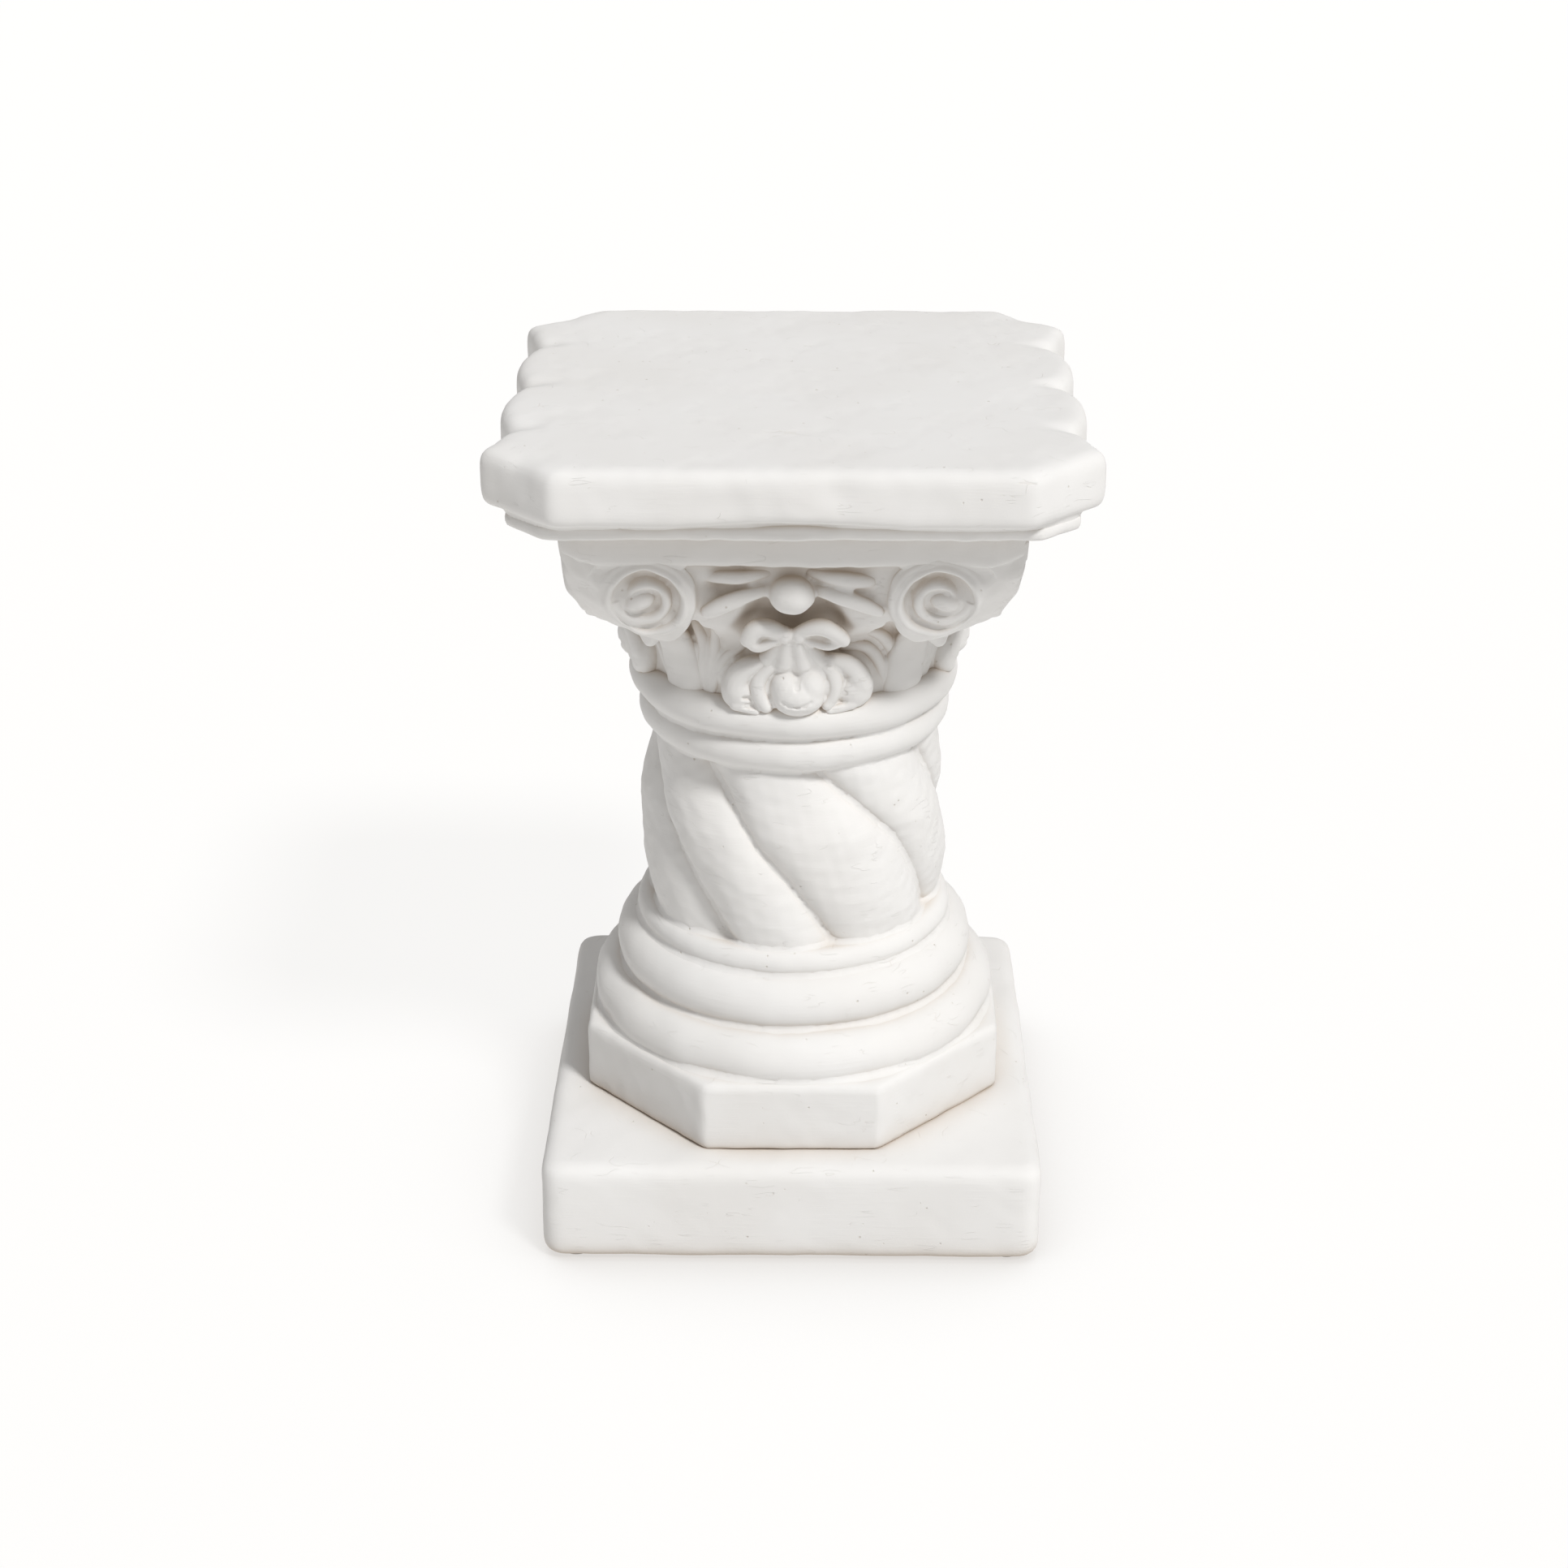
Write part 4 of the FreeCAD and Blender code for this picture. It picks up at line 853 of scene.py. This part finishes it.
def make_petals():
    """The outer petals, each one a broad lobe with short notches beside the collar."""
    lobes = bmesh.new()
    ball(lobes, (41, -103.5, 15), (15.2, 14.5, 18.5))
    ball(lobes, (-35.5, -105, 14.5), (15.2, 14.5, 18.5))
    ball(lobes, (34, -111, 27), (7, 6, 9))
    ball(lobes, (-28, -111.5, 26), (7, 6, 9))
    lumps = [
        lobes,
        roll([(20, -118, 41), (34, -118, 39), (44, -112, 29), (46, -108, 18)], (3.4, 6.4, 9.0, 9.5), 0.9),
        roll(
            [(-14, -119, 38), (-27, -118, 36), (-38, -113, 26), (-39, -110, 16)],
            (4.0, 6.8, 9.5, 10), 0.9,
        ),
        roll([(40, -110, 4), (33, -113, 1.5), (26, -115, 0)], (6.6, 5.4, 3.6), 0.9),
        roll([(-38, -111, 4), (-32, -113, 1.5), (-25, -115, -1)], (6.6, 5.4, 3.6), 0.9),
    ]
    made = moulded("petal_carving", "palmette_petals", gathered(*lumps), grain=1.0, rubs=4, seed=361)
    return grooved(
        made,
        [
            ((27, 14.5), (36, 13.5), 3.0, 1.4),
            ((26, 6.5), (36, 6.0), 3.0, 1.4),
            ((31, 30), (38, 26.5), 1.6, 1.6),
            ((-24, 9.5), (-33.5, 9.8), 3.0, 1.4),
            ((-23, 2.4), (-32, 3.4), 3.0, 1.4),
        ],
    )


def on_bell(bearing, height, proud):
    """A point at a bearing right of the front, proud of the bell."""
    heights = (0, 24, 44, 69, 94, 123)
    reach = float(np.interp(height, heights, (110.5, 111.2, 113.2, 118, 125.5, 140))) + proud
    angle = math.radians(bearing)
    return (reach * math.sin(angle), -reach * math.cos(angle), height)


def make_side_leaves():
    """The leaf ridges between palmette and corner. A ridge's points are bearing, height and proudness."""
    sunk = 2.0
    right = (
        ((18, 44, 0), (24, 46, 1.5), (30, 37, 1.5), (34, 22, 0.5), (36.5, 6, -1)),
        ((24, 57, 0), (30, 54, 1.5), (35.5, 44, 1.5), (39, 30, 0.5), (41, 14, -1)),
        ((27, 68, 1), (33, 66, 2), (39, 57, 1), (42, 45, 0)),
        ((22, 70, 2), (27, 73, 5), (33, 71, 5), (37, 69, 2)),
    )
    left = (
        ((-33.5, 4, -1), (-35, 21, 1.5), (-32.5, 38, 1.5), (-34, 56, 1), (-40, 70, 0)),
        ((-32, 5, -1), (-31, 24, 1.5), (-28, 42, 1.5), (-27, 60, 1), (-30, 70, 0)),
        ((-31, 5, -1), (-27.5, 24, 1.5), (-23, 38, 1.5), (-17, 46, 0)),
        ((-37, 14, -1), (-39, 30, 1), (-40, 46, 1), (-43, 58, 0)),
        ((-24, 70, 2), (-29, 73, 4), (-35, 71, 3)),
    )
    lumps = []
    for row in right + left:
        points = [on_bell(bearing, height, proud - sunk) for bearing, height, proud in row]
        radii = [3.2] + [5.0] * (len(points) - 2) + [3.2]
        lumps.append(roll(points, radii))
    return moulded("leaf_carving", "side_leaves", gathered(*lumps), grain=1.0, rubs=5, seed=371)


def leaf_tips():
    """The leaf ends that droop under each scroll block, part of the bell's own casting."""
    tips = []
    for turns, _ in CORNERS:
        tip = bmesh.new()
        ball(tip, (0, -139, 62), (20, 12, 10))
        ball(tip, (1, -140, 55), (12, 9, 12))
        ball(tip, (2, -141, 48.5), (7, 7, 8))
        tips.append(turned_copy(tip, turns, 45))
        tip.free()
    return tips


BELL_TOP_RADIUS = 140


def bell_core():
    """The bell, whose upper wall comes forward behind the husks and stays back in the sockets of the bow."""
    profile = swept_edge((110, -1), (BELL_TOP_RADIUS, 124), swell=-8, steps=64)
    core = shown("core", turned(profile, segments=320))
    points = points_of(core)
    x, y, z = points.T
    bearing = np.degrees(np.arctan2(x, -y))
    reach = np.hypot(x, y)
    local = np.radians((bearing + 45) % 90 - 45)
    across = BELL_TOP_RADIUS * np.tan(local)
    # Places across the face, and the height at which the forward wall begins at each.
    places = (-76, -60, -46, -36, -24, 0, 24, 36, 46, 58, 72)
    lower = np.interp(across, places, (55, 56, 56, 72, 90, 93, 90, 70, 54, 56, 55))
    share = np.clip((z - lower + 8) / 22, 0, 1)
    share = share * share * (3 - 2 * share) * np.clip((76 - np.abs(across)) / 8, 0, 1)
    wall = np.interp(z, (45, 62, 80, 100, 124), (119, 127, 137, 142.5, 145.5))
    beside = np.clip((np.abs(across) - 50) / 16, 0, 1) * np.interp(z, (66, 76, 100, 124), (0, 3, 6, 8))
    wall = (wall + beside * np.clip((z - 60) / 12, 0, 1)) / np.cos(local)
    hollow = 6 * np.exp(-(((across + 51) / 9) ** 2) - ((z - 103) / 5) ** 2)
    target = reach + np.maximum(wall - hollow - reach, 0) * share
    target = np.where(reach > 108, target, reach)
    scale = np.where(reach > 1, target / np.maximum(reach, 1), 1)
    place_points(core, np.column_stack((x * scale, y * scale, z)))
    clay = clay_of(core.data)
    bpy.data.objects.remove(core)
    return clay


def make_bell(carvings):
    """The bell, with the plaster that fills the angles between it and the ornament."""
    lumps = [raised(lump, CAPITAL_FOOT) for lump in [bell_core()] + leaf_tips()]
    made = fused_skin("bell_casting", carvings, grain=1.8, rubs=9, sink=0.4, lumps=lumps)
    hand_worn(made, seed=401, deep=0.4, fine=0.3)
    within_capital(made, -1, 124)
    return plaster_piece(made, "capital_bell")


def make_capital():
    before = set(bpy.data.objects)
    make_volutes()
    make_corner_leaves()
    for maker in (make_bosses, make_husks, make_bows, make_stems, make_buds, make_collars, make_petals):
        maker()
    make_side_leaves()
    make_bell([item for item in bpy.data.objects if item not in before])


# ---------------------------------------------------------------- metal and felt


def dress_fittings():
    """The rod, plates, nuts and pads keep their solids' shapes."""
    steel_nodes = ("tie_rod", "lower_bearing_plate", "upper_bearing_plate", "lower_nut", "upper_nut")
    for node in steel_nodes + ("felt_pads",):
        mesh = frame["nodes"][node].data
        mesh.materials.clear()
        mesh.materials.append(FELT if node == "felt_pads" else STEEL)


# ---------------------------------------------------------------- studio and camera


def make_studio():
    bm = bmesh.new()
    bmesh.ops.create_grid(bm, x_segments=1, y_segments=1, size=30000)
    floor = shown("studio_floor", bm)
    paper = Finish("studio_paper")
    # The floor glows so that it stays white; ambient occlusion dims the glow next to the pedestal, a painted
    # contact shadow
    open_floor = paper.node(
        "ShaderNodeAmbientOcclusion", {"samples": 16}, {"Distance": 0.30, "Color": WHITE}, output="AO"
    ).between(0.30, 0.95)
    glow_with_painted_shadow = paper.mixed(open_floor, (0.66, 0.64, 0.62, 1), (0.87, 0.862, 0.85, 1))
    paint = {"Base_Color": (0.10, 0.10, 0.10, 1), "Roughness": 0.9}
    floor.data.materials.append(paper.surface(**paint, Emission_Strength=1.0, Emission_Color=glow_with_painted_shadow))

    world = bpy.data.worlds.new("studio")
    bpy.context.scene.world = world
    world.use_nodes = True
    tree = world.node_tree
    sky = tree.nodes["Background"]
    way = tree.nodes.new("ShaderNodeTexCoord")
    parts = tree.nodes.new("ShaderNodeSeparateXYZ")
    ramp = tree.nodes.new("ShaderNodeValToRGB")
    tree.links.new(way.outputs["Generated"], parts.inputs[0])
    tree.links.new(parts.outputs["Z"], ramp.inputs[0])
    tree.links.new(ramp.outputs["Color"], sky.inputs["Color"])
    ramp.color_ramp.elements[0].color = (0.080, 0.068, 0.052, 1)
    ramp.color_ramp.elements[1].color = (0.660, 0.663, 0.672, 1)
    sky.inputs["Strength"].default_value = 1.0

    light = bpy.data.lights.new("key_light", "SUN")
    light.energy, light.angle = 2.6, math.radians(11)
    lamp = bpy.data.objects.new("key_light", light)
    lamp.rotation_euler = (math.radians(40), 0, math.radians(40))
    bpy.context.scene.collection.objects.link(lamp)

    view = bpy.context.scene.view_settings
    view.view_transform = "Standard"
    view.look = "None"


PHOTO_WIDTH = 1932  # pixels
FOCAL_LENGTH = 3174.8  # pixels
CAMERA_TILT, CAMERA_TURN = 25.033, 0.625  # degrees below the level and to the left


def make_camera():
    camera = bpy.data.cameras.new("camera")
    camera.sensor_fit = "HORIZONTAL"
    camera.sensor_width = 36
    camera.lens = FOCAL_LENGTH / PHOTO_WIDTH * camera.sensor_width
    camera.clip_start, camera.clip_end = 0.05, 100
    made = bpy.data.objects.new("camera", camera)
    made.location = (0.0121, -1.7621, 1.1288)
    made.rotation_euler = (math.radians(90 - CAMERA_TILT), 0, math.radians(CAMERA_TURN))
    bpy.context.scene.collection.objects.link(made)
    bpy.context.scene.camera = made


make_camera()
make_plinth()
base = [make_octagon()]
base += make_rings()
base.append(make_shaft())
make_joints("column_joints", base, grain=2.4, rubs=10, sink=0.4)
make_capital()
abacus = make_abacus()
scrolls = [bpy.data.objects[f"scroll_block_{corner}"] for _, corner in CORNERS]
make_joints("capital_joints", [abacus] + scrolls, grain=2.2, rubs=10, sink=0.5)
make_joints("slab_joints", [abacus, make_bed_mould(), make_slab()], grain=3.0, rubs=8, sink=0.6)
dress_fittings()
make_studio()
